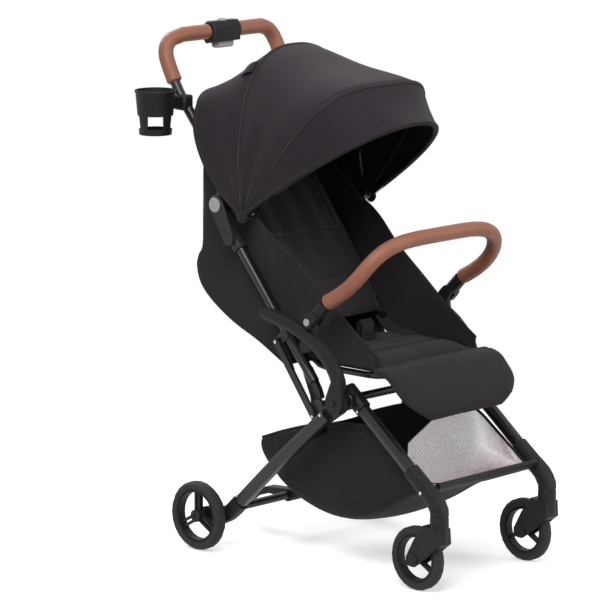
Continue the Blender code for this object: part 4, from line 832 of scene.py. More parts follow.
tunnels = [bow_tunnel("brim_bow_tunnel", BRIM_BOW, 0), bow_tunnel("mid_bow_tunnel", MID_BOW, 1),
           bow_tunnel("rear_bow_tunnel", REAR_BOW, 2)]
FLAP_TURN, FLAP_SPREAD = 2.17, 0.055
FLAP_COLUMNS = (-1.0, -0.92, -0.5, 0.0, 0.5, 0.92, 1.0)
FLAP_PROFILE = ((1.01, 0.004), (0.99, 0.0065), (0.95, 0.0075), (0.89, 0.0065), (0.84, 0.0050),
                (0.81, 0.0035))
flap_rows = [[canopy_point(REAR_EDGE, REAR_BOW, k, FLAP_TURN + FLAP_SPREAD * u, REAR_SAG, REAR_FLARE, lift)
              for u in FLAP_COLUMNS] for k, lift in FLAP_PROFILE]
canopy_flap = sheet_piece("canopy_pull_tab", flap_rows, BINDING, 0.0024)

TIP_RADIUS, TIP_SIDES = 0.0152, 36
TIP_PROFILE = ((0.0, 0.2000), (0.5, 0.1999), (0.8, 0.1991), (0.95, 0.1976), (1.0, 0.1956), (0.93, 0.1942),
               (0.0, 0.1938))


def tip_piece(name, side):
    """The rounded cloth cover sewn over the canopy's pivot: a low button, turned in at its edge."""
    turns = [2 * pi * k / TIP_SIDES for k in range(TIP_SIDES)]
    rings = [[place(side * out, toward(CANOPY_PIVOT, turn, TIP_RADIUS * share)) for turn in turns]
             for share, out in TIP_PROFILE]
    return skinned(name, rings, ring_quads(len(rings), TIP_SIDES), TRIM_WEAVE, merge=True)


canopy_tips = [tip_piece("canopy_tip_left", 1), tip_piece("canopy_tip_right", -1)]
print("tunnels, pull tab and pivot covers made")

# %% [markdown]
# ## The cushions
# Foam under cloth swells between its seams and pulls in at its corners. Blender's Cloth does this
# by itself: the pad is remeshed evenly, blown up with a little pressure and no gravity, and no
# point may travel further than the foam would let it. Channels are pressed in afterwards.

# %% Inflate a pad
VOXEL = 0.0055
PRESSURE = 4.0
SIM_FRAMES = 20


def read_points(mesh, what="co"):
    flat = np.zeros(len(mesh.vertices) * 3, np.float32)
    mesh.vertices.foreach_get(what, flat)
    return flat.reshape(-1, 3).astype(float)


def set_coordinates(mesh, points):
    mesh.vertices.foreach_set("co", points.astype(np.float32).ravel())
    mesh.update()


def inflated(piece, up, rise, sink, voxel=VOXEL):
    """Blows the pad up. A point may move by rise along the side named up, and by sink elsewhere."""
    remesh = piece.modifiers.new("even", "REMESH")
    remesh.mode = "VOXEL"
    remesh.voxel_size = voxel
    settled(piece)
    rest = read_points(piece.data)
    cloth = piece.modifiers.new("foam", "CLOTH")
    cloth.settings.use_pressure = True
    cloth.settings.uniform_pressure_force = PRESSURE
    cloth.settings.effector_weights.gravity = 0.0
    cloth.settings.quality = 4
    scene = bpy.context.scene
    for step in range(1, SIM_FRAMES + 1):
        scene.frame_set(step)
    settled(piece)
    scene.frame_set(1)
    moved = read_points(piece.data)
    push = moved - rest
    side = (push @ np.array(up))[:, None] * np.array(up)
    flat = push - side
    allowed = np.where((push @ np.array(up))[:, None] > 0, rise, sink)
    for part, limit in ((side, allowed), (flat, sink)):
        length = np.linalg.norm(part, axis=1, keepdims=True)
        part *= np.minimum(1.0, limit / np.maximum(length, 1e-9))
    set_coordinates(piece.data, rest + side + flat)
    piece.data.shade_smooth()
    print(piece.name, "inflated,", len(piece.data.vertices), "points")
    return piece


print("inflating for", SIM_FRAMES, "frames at pressure", PRESSURE)

# %% Press, refine and crown a pad
def pressed(piece, depth_at):
    """Moves each point inwards by depth_at(point), as sewing or a crease does."""
    points, normals = read_points(piece.data), read_points(piece.data, "normal")
    depths = np.array([depth_at(Vector(p), Vector(n)) for p, n in zip(points, normals)])
    set_coordinates(piece.data, points - normals * depths[:, None])
    return piece


def finer(piece):
    more = piece.modifiers.new("finer", "SUBSURF")
    more.levels = more.render_levels = 1
    return settled(piece)


def pad_rings(rows, half_width, above, below, count=16):
    """Rings of a crowned pad along rows of (place, up-angle, fill, width)."""
    rings = []
    for yz, up, fill, width in rows:
        normal = Vector((0, cos(up), sin(up)))
        ring = []
        for side in (1, -1):
            span = range(count + 1) if side > 0 else range(count - 1, 0, -1)
            for i in span:
                u = -1 + 2 * i / count
                swell = (1 - abs(u) ** 4) ** 0.5
                crown = 0.35 + 0.65 * swell if side > 0 else 0.7 * swell + 0.3
                lift = fill * crown * (above if side > 0 else -below)
                ring.append(place(half_width * width * u, yz) + normal * lift)
        rings.append(ring)
    return rings


print("pad helpers ready")

# %% [markdown]
# The seat cushion lies on the seat's rails, narrower at the rear, where it passes between the
# push tubes. Two sewn channels cross it.

# %% Seat cushion
SEAT_REAR_Y, SEAT_FRONT_Y, SEAT_MIDDLE_Z = -0.188, -0.432, 0.425
SEAT_HALF_WIDTH, SEAT_REAR_HALF_WIDTH = 0.148, 0.128
SEAT_NARROW_Y = -0.277
SEAT_CHANNELS = (-0.275, -0.352)


def seat_rows(steps=24):
    rows = []
    for i in range(steps + 1):
        k = i / steps
        y = SEAT_REAR_Y + (SEAT_FRONT_Y - SEAT_REAR_Y) * k
        edge = min(1.0, 0.4 + 4.5 * min(k, 1 - k))
        wide = min(1.0, max(0.0, (SEAT_NARROW_Y - y) / 0.02))
        width = SEAT_REAR_HALF_WIDTH + (SEAT_HALF_WIDTH - SEAT_REAR_HALF_WIDTH) * wide
        rows.append(((y, SEAT_MIDDLE_Z), pi / 2, edge, width / SEAT_HALF_WIDTH))
    return rows


def seat_channels(p, n):
    """Two sewn channels across, a dip where the child sits, and small creases in the cloth."""
    y = p.y - REAR_AXLE.y
    depth = sum(0.0045 * bell(y - at, 0.006) for at in SEAT_CHANNELS)
    dip = 0.003 * bell(p.x - REAR_AXLE.x, 0.09)
    ruffle = 0.0016 * noise.noise(p * 38.0)
    return (depth + dip) * max(0.0, n.z) + ruffle * max(0.2, n.z)


seat_rings = pad_rings(seat_rows(), SEAT_HALF_WIDTH, above=0.018, below=0.0078)
seat_cushion = lofted("seat_cushion", seat_rings, PAD_WEAVE, split_ends=True)
seat_cushion = inflated(seat_cushion, (0, 0, 1), rise=0.009, sink=0.0006)
seat_cushion = finer(pressed(seat_cushion, seat_channels))
print("seat cushion:", len(seat_cushion.data.polygons), "faces")

# %% [markdown]
# The backrest cushion is thin, and its loose lining hangs in folds from the top.

# %% Backrest cushion
BACK_PIVOT = (-0.1696, 0.470)
BACK_ANGLE = radians(54.0)
BACK_LENGTH = 0.388
BACK_HALF_WIDTH = 0.146
BACK_NORMAL = BACK_ANGLE + pi / 2
BACK_LIFT = 0.0155


def back_rows(steps=36):
    rows = []
    for i in range(steps + 1):
        k = i / steps
        at = toward(BACK_PIVOT, BACK_ANGLE, 0.004 + (BACK_LENGTH - 0.002) * k)
        edge = min(1.0, 0.4 + 5.0 * min(k, 1 - k))
        rows.append((toward(at, BACK_NORMAL, BACK_LIFT), BACK_NORMAL, edge, 0.95 + 0.05 * sin(pi * k)))
    return rows


BACK_FRONT = Vector((0, cos(BACK_NORMAL), sin(BACK_NORMAL)))


def back_folds(p, n):
    """The loose lining hangs in long soft folds from the top of the back, and is quilted below."""
    x = p.x - REAR_AXLE.x
    up = (p.y - REAR_AXLE.y - BACK_PIVOT[0]) * cos(BACK_ANGLE) + (p.z - BACK_PIVOT[1]) * sin(BACK_ANGLE)
    loose = min(1.0, max(0.0, (up - 0.06) / 0.2))
    wander = 0.018 * noise.noise(Vector((0.0, 0.0, up * 7.0)))
    folds = 0.0042 * loose * sin((x + wander) * 95.0 + 2.0 * noise.noise(Vector((x * 9.0, up * 5.0, 1.0))))
    seam = 0.0042 * bell(up - 0.095, 0.006)
    hollow = 0.006 * bell(x, 0.085) * min(1.0, max(0.0, (0.30 - up) / 0.2))
    ruffle = 0.0018 * noise.noise(p * 30.0)
    return (folds + seam + hollow + ruffle) * max(0.0, n.dot(BACK_FRONT))


back_rings = pad_rings(back_rows(), BACK_HALF_WIDTH, above=0.013, below=0.0056)
back_cushion = lofted("back_cushion", back_rings, PAD_WEAVE, split_ends=True)
back_cushion = inflated(back_cushion, tuple(BACK_FRONT), rise=0.008, sink=0.0006)
back_cushion = finer(pressed(back_cushion, back_folds))
print("back cushion:", len(back_cushion.data.polygons), "faces")

# %% [markdown]
# The leg rest is a padded flap that curls down from the seat's front edge and narrows to a
# rounded end. It needs a finer remesh than the others, because its edge is seen against the floor.

# %% Leg rest cushion
LEG_REST_HALF_WIDTH = 0.178
LEG_REST_PIVOT = (-0.4343, 0.4284)
LEG_REST_LINE = [toward(LEG_REST_PIVOT, radians(20), 0.0012), (-0.474, 0.4205), (-0.509, 0.391),
                 (-0.5285, 0.361), (-0.5335, 0.333)]
LEG_REST_VOXEL = 0.0030


def leg_rest_rows():
    line = side_line(0.0, LEG_REST_LINE, 12)
    far = travelled(line)
    rows = []
    for i, here in enumerate(line):
        ahead = line[min(i + 1, len(line) - 1)] - line[max(i - 1, 0)]
        k = far[i] / far[-1]
        edge = min(1.0, 0.72 + 3.0 * min(k, 1 - k))
        width = 1.0 - 0.38 * (max(0.0, k - 0.45) / 0.55) ** 2.6
        rows.append(((here.y - REAR_AXLE.y, here.z), atan2(ahead.z, ahead.y) - pi / 2, edge, width))
    return rows


def leg_rest_creases(p, n):
    """A sewn line runs along the rear edge and round the sides, with puckers off it."""
    y = p.y - REAR_AXLE.y
    x = abs(p.x - REAR_AXLE.x)
    rear = 0.0028 * bell(y + 0.449, 0.003)
    pucker = 0.0004 * sin(x * 150.0 + 3.0 * noise.noise(p * 14.0)) * bell(y + 0.458, 0.012)
    ruffle = 0.0006 * noise.noise(p * 12.0)
    return (rear + pucker + ruffle) * (0.3 + 0.7 * max(0.0, n.z))


leg_rings = pad_rings(leg_rest_rows(), LEG_REST_HALF_WIDTH, above=0.0090, below=0.0090, count=40)
leg_cushion = lofted("leg_rest_cushion", leg_rings, PAD_WEAVE, split_ends=True)
leg_cushion = inflated(leg_cushion, (0, -0.5, 0.866), rise=0.004, sink=0.0008, voxel=LEG_REST_VOXEL)
leg_cushion = finer(pressed(leg_cushion, leg_rest_creases))
print("leg rest cushion:", len(leg_cushion.data.polygons), "faces")

# %% [markdown]
# ## The seat's side walls and the pouch behind it
# The walls are single cloth, tight along the tube they hang from and loose lower down. A bound
# edge runs along the top.

# %% Side walls
WALL_UPPER = [(0.046, 0.856), (-0.004, 0.800), (-0.058, 0.746), (-0.123, 0.695), (-0.190, 0.641), (-0.235, 0.606),
              (-0.280, 0.571), (-0.330, 0.530), (-0.385, 0.488), (-0.430, 0.458)]
WALL_LOWER = [(0.036, 0.812), (0.014, 0.740), (-0.018, 0.674), (-0.052, 0.622), (-0.088, 0.574), (-0.120, 0.530),
              (-0.158, 0.482), (-0.212, 0.436), (-0.330, 0.431), (-0.428, 0.4320)]
WALL_X = 0.1535
WALL_FLARE, WALL_FLARE_Y = 0.016, -0.135


def wall_rows(side, rows=18):
    upper, lower = (side_line(0.0, places, 7) for places in (WALL_UPPER, WALL_LOWER))
    grid = []
    for r in range(rows + 1):
        k = r / rows
        line = []
        for n, (top, low) in enumerate(zip(upper, lower)):
            here = low.lerp(top, k)
            share = n / (len(upper) - 1)
            slack = sin(pi * k)
            fold = 0.0030 * slack * noise.noise(Vector((share * 5.0, k * 2.6, 4.0)))
            fold += 0.0012 * slack * sin(share * 26.0 + k * 6.0)
            flare = WALL_FLARE * k * k * bell(here.y - REAR_AXLE.y - WALL_FLARE_Y, 0.055)
            here.x = REAR_AXLE.x + side * (WALL_X - 0.0010 - 0.0016 * k - abs(fold) + flare)
            line.append(here)
        grid.append(line)
    return grid


walls, wall_bindings, wall_stitches = {}, {}, {}
for label, side in SIDES:
    rows = wall_rows(side)
    walls[label] = sheet_piece("seat_wall_" + label, rows, LINER_WEAVE, 0.0013)
    wall_bindings[label] = tube_piece("seat_wall_binding_" + label, rows[-1], 0.0019, BINDING, 8)
    inset = [a.lerp(b, 0.35) + Vector((-side * 0.0009, 0, 0)) for a, b in zip(rows[-1], rows[-2])]
    outset = [p + Vector((side * 0.0018, 0, 0)) for p in inset]
    wall_stitches[label] = stitches("seat_wall_stitches_" + label, [inset, outset], DARK_THREAD)
print("side walls:", round(walls["left"]["cut_area"], 3), "square metres each")

# %% [markdown]
# The pouch behind the back is the same cloth, boxy at its sides, with a bulge at its foot where
# the reclining back will need the room. It is one grid that runs down a side, across the back
# and up the other side, so its corners can be rounded as the cloth's own are.

# %% Rear pouch
POUCH_HALF = 0.1485
POUCH_CORNER = 9
POUCH_BACK = [(0.062, 0.836), (0.074, 0.798), (0.078, 0.700), (0.080, 0.630), (0.092, 0.606), (0.097, 0.582),
              (0.085, 0.546), (0.050, 0.512), (-0.010, 0.475), (-0.080, 0.445), (-0.168, 0.405)]
POUCH_FRONT = [(0.045, 0.854), (0.024, 0.786), (-0.010, 0.684), (-0.042, 0.636), (-0.058, 0.614), (-0.073, 0.594),
               (-0.092, 0.564), (-0.112, 0.538), (-0.138, 0.512), (-0.1588, 0.470), (-0.196, 0.398)]


def pouch_rows(across=28, along_side=POUCH_CORNER):
    back, front = (side_line(0.0, places, 8) for places in (POUCH_BACK, POUCH_FRONT))
    grid = []
    for n, (here, edge) in enumerate(zip(back, front)):
        share = n / (len(back) - 1)
        loose = sin(pi * share) ** 0.6
        line = []
        for i in range(along_side):
            k = i / along_side
            p = edge.lerp(here, k)
            soft = 0.0030 * loose * sin(pi * k) * noise.noise(Vector((k * 3.0, share * 9.0, 2.0)))
            p.x = -POUCH_HALF + abs(soft)
            line.append(p)
        for i in range(across + 1):
            u = -1 + 2 * i / across
            corner = abs(u) ** 14
            p = here.lerp(edge, corner * min(0.9, 0.010 / max((here - edge).length, 1e-6)))
            ripple = 0.0045 * noise.noise(Vector((u * 2.2, share * 7.0, 7.0)))
            ripple += 0.0022 * sin(share * 38.0 + u * 2.0)
            p = p + Vector((0, ripple * loose * (1 - u * u), 0))
            p.x = POUCH_HALF * u * (1 - 0.004 * corner)
            line.append(p)
        for i in range(along_side - 1, -1, -1):
            line.append(Vector((-line[i].x, line[i].y, line[i].z)))
        grid.append([Vector((p.x + REAR_AXLE.x, p.y, p.z)) for p in line])
    return grid


pouch_grid = pouch_rows()
print("pouch grid:", len(pouch_grid), "by", len(pouch_grid[0]))

# %% Pouch cloth and seams
pouch = sheet_piece("rear_pouch", pouch_grid, LINER_WEAVE, 0.0014)


def pouch_line(column, proud):
    """A line down the pouch, standing proud behind it."""
    return [row[column] + Vector((0, proud, 0)) for row in pouch_grid]


last_column = len(pouch_grid[0]) - 1
pouch_seams = [tube_piece("pouch_seam_right", pouch_line(POUCH_CORNER, 0.0008), 0.0015, BINDING, 8),
               tube_piece("pouch_seam_left", pouch_line(last_column - POUCH_CORNER, 0.0008), 0.0015, BINDING, 8)]
sewn = [pouch_line(column, 0.0016)[3:-12] for column in (POUCH_CORNER + 1, last_column - 1 - POUCH_CORNER)]
pouch_stitches = stitches("pouch_stitches", sewn, DARK_THREAD)
print("rear pouch:", round(pouch["cut_area"], 3), "square metres")

# %% [markdown]
# Loose cloth closes what would be gaps between moving parts. Gussets join each wall's top edge to
# the canopy's rear hem, a mesh vent closes the back between the pouch and the canopy, and a skirt
# on each side joins the wall's foot to the seat.

# %% Cloth between two lines
def evened(line, count):
    """The same line with count even steps."""
    far = travelled(line)
    made, j = [], 0
    for i in range(count + 1):
        want = far[-1] * i / count
        while j < len(far) - 2 and far[j + 1] < want:
            j += 1
        share = (want - far[j]) / max(far[j + 1] - far[j], 1e-9)
        made.append(line[j].lerp(line[j + 1], min(1.0, share)))
    return made


def between_lines(name, near, far, finish, out, slack, rows=8, steps=30, thickness=0.0012):
    """Cloth from one line to another, hanging slack by a little towards out."""
    near, far = evened(near, steps), evened(far, steps)
    out = Vector(out)
    grid = []
    for r in range(rows + 1):
        hang = [slack * sin(pi * r / rows) * sin(pi * i / steps) ** 0.5 * (1 + 0.4 * noise.noise(a * 40.0))
                for i, a in enumerate(near)]
        grid.append([a.lerp(b, r / rows) + out * drop for a, b, drop in zip(near, far, hang)])
    return sheet_piece(name, grid, finish, thickness)


def hem_line(start, end, steps=48):
    turns = [start + (end - start) * i / steps for i in range(steps + 1)]
    return [canopy_point(REAR_EDGE, REAR_BOW, 0.0, turn, flare=REAR_FLARE) for turn in turns]


CORNER_TURN = 1.15
GUSSET_X = 0.1520
GUSSET_EDGE = [(0.046, 0.856), (0.020, 0.8265), (-0.004, 0.800), (-0.058, 0.746), (-0.086, 0.7235),
               (-0.106, 0.708)]
SKIRT_WALL = [(-0.160, 0.482), (-0.186, 0.460), (-0.212, 0.449), (-0.250, 0.446), (-0.300, 0.434),
              (-0.360, 0.432), (-0.427, 0.433)]
SKIRT_SEAT = [(-0.170, 0.474), (-0.192, 0.452), (-0.214, 0.438), (-0.250, 0.434), (-0.300, 0.430),
              (-0.360, 0.429), (-0.427, 0.4295)]
SKIRT_WALL_X, SKIRT_SEAT_X = 0.1524, 0.1240
VENT_FOOT = ((0.1515, (0.046, 0.856)), (0.1485, (0.062, 0.836)), (0.0, (0.062, 0.836)),
             (-0.1485, (0.062, 0.836)), (-0.1515, (0.046, 0.856)))
print("the gussets' hem:", round(travelled(hem_line(CORNER_TURN, BOW_START))[-1], 3), "m")

# %% Gussets, vent and skirts
gussets, skirts = {}, {}
for label, side in SIDES:
    edge = side_line(side * GUSSET_X, GUSSET_EDGE)
    hem = hem_line(CORNER_TURN, BOW_START)
    hem = hem if side > 0 else mirrored(hem)
    out = (side * 0.6, 0.8, 0)
    gussets[label] = between_lines("canopy_gusset_" + label, edge, hem, LINER_WEAVE, out, 0.008)
    foot, rail = side_line(side * SKIRT_WALL_X, SKIRT_WALL), side_line(side * SKIRT_SEAT_X, SKIRT_SEAT)
    skirts[label] = between_lines("seat_skirt_" + label, foot, rail, LINER_WEAVE, (0, 0, -1), 0.003, rows=5)
pouch_top = [place(x, yz) for x, yz in VENT_FOOT]
vent_hem = hem_line(CORNER_TURN, pi - CORNER_TURN)
vent = between_lines("canopy_vent", pouch_top, vent_hem, WINDOW_MESH, (0, 1, 0), 0.006, 10, 60, 0.0007)
vent_seam = tube_piece("canopy_vent_seam", evened(pouch_top, 60), 0.0018, BINDING, 8)
print("gussets, vent and skirts made")

# %% [markdown]
# The lining behind the child's shoulders has a mesh window. It is a light sheet laid over the
# upper cushion, bound all round, and it follows the cushion when the back reclines.

# %% Mesh window
WINDOW_UP = (0.205, 0.372)
WINDOW_HALF, WINDOW_TAPER = 0.104, 0.1
WINDOW_COLUMNS, WINDOW_ROWS = 36, 24


def back_place(x, up, lift):
    return place(x, toward(toward(BACK_PIVOT, BACK_ANGLE, up), BACK_NORMAL, lift))


def surface_tree(mesh):
    return BVHTree.FromPolygons([v.co for v in mesh.vertices], [tuple(f.vertices) for f in mesh.polygons])


back_tree = surface_tree(back_cushion.data)


def on_back(x, up, proud):
    """The place on the cushion's front at x and up, standing proud of it by a little."""
    hit = back_tree.ray_cast(back_place(x, up, 0.08), -BACK_FRONT)[0]
    return (hit or back_place(x, up, BACK_LIFT + 0.016)) + BACK_FRONT * proud


def window_row(share):
    half = WINDOW_HALF * (1 - WINDOW_TAPER * share)
    up = WINDOW_UP[0] + (WINDOW_UP[1] - WINDOW_UP[0]) * share
    return [on_back(-half + 2 * half * i / WINDOW_COLUMNS, up, 0.0016) for i in range(WINDOW_COLUMNS + 1)]


window_rows = [window_row(r / WINDOW_ROWS) for r in range(WINDOW_ROWS + 1)]
back_window = sheet_piece("back_mesh_window", window_rows, WINDOW_MESH, 0.0006)
window_edge = window_rows[0] + [row[-1] for row in window_rows[1:]]
window_edge += window_rows[-1][-2::-1] + [row[0] for row in window_rows[-2::-1]]
window_binding = tube_piece("back_window_binding", window_edge, 0.0020, BINDING, 8, round_ends=False)
sewn = [p + BACK_FRONT * 0.0021 for p in window_edge]
window_stitches = stitches("back_window_stitches", [sewn], DARK_THREAD)
print("mesh window:", round(back_window["cut_area"], 4), "square metres")

# %% [markdown]
# ## The basket
# The basket is a shell slung under the seat. Its cloth sags between its rim and its floor, and
# the front of one wall is open mesh. A cord is sewn into the rim, which keeps it open.

# %% Basket shell
BASKET_HALF = 0.1475
BASKET_SEAM = 12
BASKET_LOW = [(-0.101, 0.240), (-0.093, 0.218), (-0.098, 0.197), (-0.117, 0.172), (-0.150, 0.139), (-0.215, 0.106),
              (-0.285, 0.092), (-0.350, 0.097), (-0.415, 0.122), (-0.490, 0.166), (-0.5740, 0.1998)]
BASKET_RIM = [(-0.102, 0.243), (-0.103, 0.2435), (-0.107, 0.2445), (-0.128, 0.2525), (-0.165, 0.266), (-0.230, 0.286),
              (-0.300, 0.301), (-0.365, 0.310), (-0.430, 0.308), (-0.496, 0.266), (-0.5740, 0.2078)]
BASKET_SECTION = [(-1.0, 1.0), (-1.0, 0.72), (-0.997, 0.45), (-0.95, 0.18), (-0.82, 0.04), (-0.3, -0.02),
                  (0.3, -0.02), (0.82, 0.04), (0.95, 0.18), (0.997, 0.45), (1.0, 0.72), (1.0, 1.0)]


def basket_rows():
    low, rim = (side_line(0.0, places, 6) for places in (BASKET_LOW, BASKET_RIM))
    section = smooth_line([Vector((u, k, 0)) for u, k in BASKET_SECTION], 4)
    grid = []
    for n, (a, b) in enumerate(zip(low, rim)):
        share = n / (len(low) - 1)
        line = []
        for at in section:
            u, k = at.x, at.y
            p = a.lerp(b, max(k, 0.0))
            p.z = a.z + (b.z - a.z) * k
            slack = max(0.0, sin(pi * min(max(k, 0.0), 1.0))) * sin(pi * share)
            belly = 0.004 * slack * noise.noise(Vector((share * 8.0, k * 2.0, 5.0 + u)))
            billow = max(0.0, noise.noise(Vector((u * 2.0, share * 6.0, 9.0))))
            floor = -0.003 * (1 - min(1.0, u * u)) * billow
            p.x = REAR_AXLE.x + BASKET_HALF * u - (1 if u > 0 else -1) * abs(belly)
            p.z += floor
            line.append(p)
        grid.append(line)
    return grid


basket_grid = basket_rows()
print("basket grid:", len(basket_grid), "by", len(basket_grid[0]))

# %% Basket cloth and trims
basket = sheet_piece("basket_cloth", basket_grid, BASKET_MESH, 0.0012)
rim_left, rim_right = ([row[i] for row in basket_grid] for i in (-1, 0))
rim_line = rim_right + basket_grid[-1][1:-1] + list(reversed(rim_left))
basket_rim = tube_piece("basket_rim", rim_line, 0.0028, BINDING, 8)
basket_seams = []
for label, i in (("right", BASKET_SEAM), ("left", len(basket_grid[0]) - 1 - BASKET_SEAM)):
    line = [row[i] - Vector((0, 0, 0.0005)) for row in basket_grid]
    basket_seams.append(tube_piece("basket_seam_" + label, line, 0.0014, BINDING, 8))
sewn = [[p + Vector((side * 0.0010, 0, -0.006)) for p in rim[2:-4]]
        for side, rim in ((1, rim_left), (-1, rim_right))]
rim_stitches = stitches("basket_rim_stitches", sewn, DARK_THREAD)
print("basket:", round(basket["cut_area"], 3), "square metres")

# %% [markdown]
# ## The grips
# Leatherette is stretched over foam, so a grip is a little thicker in the middle than where it is
# turned in at its ends, it wrinkles on the inside of a bend, and a stitched seam closes it along
# the side that faces down.

# %% Lines of the grips
GRIP_RADIUS = 0.0160
BUMPER_GRIP_RADIUS = 0.0155
HANDLE_X, HANDLE_TOP = 0.166, (0.160, 1.064)
HANDLE_TURN = radians(50.2)
ACTUATOR_SIDE = 0.0425
BUMPER_PIVOT = (-0.298, 0.5215)
BUMPER_X, BUMPER_TILT = 0.2065, radians(134.0)
BUMPER_STRAIGHT, BUMPER_REACH, BUMPER_BOW, BUMPER_BLEND = 0.062, 0.243, 0.018, 4.2


def handle_line():
    foot = toward(toward(HANDLE_HINGE, HANDLE_TURN + pi / 2, 0.048), HANDLE_TURN, 0.030)
    bends = (foot, (0.036, 0.848), (0.104, 0.927), (0.134, 0.970), (0.160, 1.024))
    rise = [place(HANDLE_X, yz) for yz in bends]
    return smooth_line(rise + [place(0.150, (0.166, 1.052)), place(0.118, HANDLE_TOP)], 8)[24:]


def bumper_line(steps=26):
    half = []
    for i in range(steps + 1):
        rise = sin(pi / 2 * i / steps) if i < steps else 1.0
        x = BUMPER_X * max(0.0, 1 - rise**BUMPER_BLEND) ** (1 / BUMPER_BLEND)
        reach = BUMPER_STRAIGHT + (BUMPER_REACH - BUMPER_STRAIGHT) * rise
        middle = toward(BUMPER_PIVOT, BUMPER_TILT, reach)
        half.append(place(x, toward(middle, BUMPER_TILT + pi / 2, BUMPER_BOW * sin(pi * rise))))
    return half + list(reversed(mirrored(half[:-1])))


print("bumper grip line:", round(travelled(bumper_line())[-1], 3), "m")

# %% [markdown]
# A grip's skin is worked out ring by ring: each ring knows how far it is from an end, which way
# the seam lies, and which side is the inside of the bend.

# %% Leather grips
GRIP_STEP, GRIP_SIDES = 0.003, 28
GRIP_SEAM_TURN = 0.16


def grip_piece(name, line, radius, seam_side):
    """A sewn sleeve: rolled ends, a sunk seam along seam_side, and wrinkles inside its bends."""
    line = evened(line, round(travelled(line)[-1] / GRIP_STEP))
    far = travelled(line)
    rings, seam = [], []
    for i, here in enumerate(line):
        before, after = line[max(i - 1, 0)], line[min(i + 1, len(line) - 1)]
        ahead = (after - before).normalized()
        bend = (before + after) / 2 - here
        inside = bend.normalized() if bend.length > 1e-7 else Vector((0, 0, 0))
        down = (seam_side - ahead * seam_side.dot(ahead)).normalized()
        over = ahead.cross(down)
        end = min(far[i], far[-1] - far[i])
        roll = 1 - 0.16 * max(0.0, 1 - end / 0.0035) ** 2 + 0.02 * bell(end - 0.006, 0.003)
        crease = 1 + sin(far[i] * 700.0 + noise.noise(here * 90.0) * 4)
        ring = []
        for k in range(GRIP_SIDES):
            turn = 2 * pi * k / GRIP_SIDES
            out = down * cos(turn) + over * sin(turn)
            groove = 0.0005 * bell(min(turn, 2 * pi - turn), 0.10)
            wrinkle = 0.00035 * max(0.0, out.dot(inside)) * min(1.0, bend.length / 0.00008) * crease
            soft = 0.00018 * noise.noise((here + out * radius) * 60.0)
            ring.append(here + out * (radius * roll - groove - wrinkle + soft))
        rings.append(ring)
        if end > 0.004:
            seam.append((here, down, over))
    rows = [[here + (down * cos(a) + over * sin(a)) * (radius + 0.0001) for here, down, over in seam]
            for a in (-GRIP_SEAM_TURN, GRIP_SEAM_TURN)]
    sleeve = lofted(name, rings, LEATHERETTE)
    return sleeve, stitches(name + "_stitches", rows, TAN_THREAD, 0.0046, 0.0030, 0.00045)


handle_half = handle_line() + [place(ACTUATOR_SIDE, HANDLE_TOP)]
below = Vector((0, 0.2, -1))
grip_left, grip_left_seam = grip_piece("handle_leather_left", handle_half, GRIP_RADIUS, below)
grip_right, grip_right_seam = grip_piece("handle_leather_right", mirrored(handle_half), GRIP_RADIUS, below)
under = Vector((0, 0.7, -0.7))
bumper_leather, bumper_seam = grip_piece("bumper_leather", bumper_line(), BUMPER_GRIP_RADIUS, under)
print("grips made:", [len(g.data.polygons) for g in (grip_left, bumper_leather)], "faces")

# %% [markdown]
# ## Small things
# Rivets hold the bars of the folding frame. Geometry Nodes sets one domed head at each place,
# turned to face the way that a stored direction points. The heads for each moving body are a
# separate mesh, because each must go with its own bar.

# %% A rivet tree
def rivet_tree():
    tree, names = node_tree("rivets", {"Radius": "NodeSocketFloat", "Height": "NodeSocketFloat",
                                       "Finish": "NodeSocketMaterial"})
    given = add(tree, "NodeGroupInput").outputs
    ring = {"Vertices": 20, "Side Segments": 1}
    rim = add(tree, "GeometryNodeMeshCone", {**ring, "Radius Top": 0.72, "Radius Bottom": 1.0, "Depth": 0.6})
    dome = add(tree, "GeometryNodeMeshCone", {**ring, "Radius Top": 0.25, "Radius Bottom": 0.72, "Depth": 0.4})
    raised = add(tree, "GeometryNodeTransform", {"Geometry": dome.outputs["Mesh"], "Translation": (0, 0, 0.6)})
    head = add(tree, "GeometryNodeJoinGeometry")
    tree.links.new(rim.outputs["Mesh"], head.inputs["Geometry"])
    tree.links.new(raised.outputs["Geometry"], head.inputs["Geometry"])
    facing = add(tree, "GeometryNodeInputNamedAttribute", {"Name": "facing"}, data_type="FLOAT_VECTOR")
    size = add(tree, "ShaderNodeCombineXYZ", {"X": given["Radius"], "Y": given["Radius"], "Z": given["Height"]})
    set_out(tree, given, given["Geometry"], head.outputs["Geometry"], facing.outputs["Attribute"],
            Scale=size.outputs["Vector"])
    return tree, names


RIVET_TREE, RIVET_INPUTS = rivet_tree()


print("rivet tree inputs:", RIVET_INPUTS)

# %% Rivets on the frame
def surface_x(node, yz, side):
    """How far out the node's surface is at a side-view place, or None where it has none."""
    hit = surface_tree(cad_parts[node].data).ray_cast(place(side * 0.5, yz), Vector((-side, 0, 0)))[0]
    return None if hit is None else hit.x


def rivets(name, spots, side, radius, height, finish):
    """Heads at spots of (node, side-view place), each on its node's outer face."""
    found = [(surface_x(node, yz, side), yz) for node, yz in spots]
    found = [(x, yz) for x, yz in found if x is not None]
    mesh = bpy.data.meshes.new(name)
    mesh.from_pydata([(x, place(0, yz).y, yz[1]) for x, yz in found], [], [])
    facing = mesh.attributes.new("facing", "FLOAT_VECTOR", "POINT")
    for stored in facing.data:
        stored.vector = (side, 0, 0)
    piece = in_scene(name, mesh)
    print(name, len(found), "heads")
    return with_tree(piece, RIVET_TREE, RIVET_INPUTS, {"Radius": radius, "Height": height, "Finish": finish})


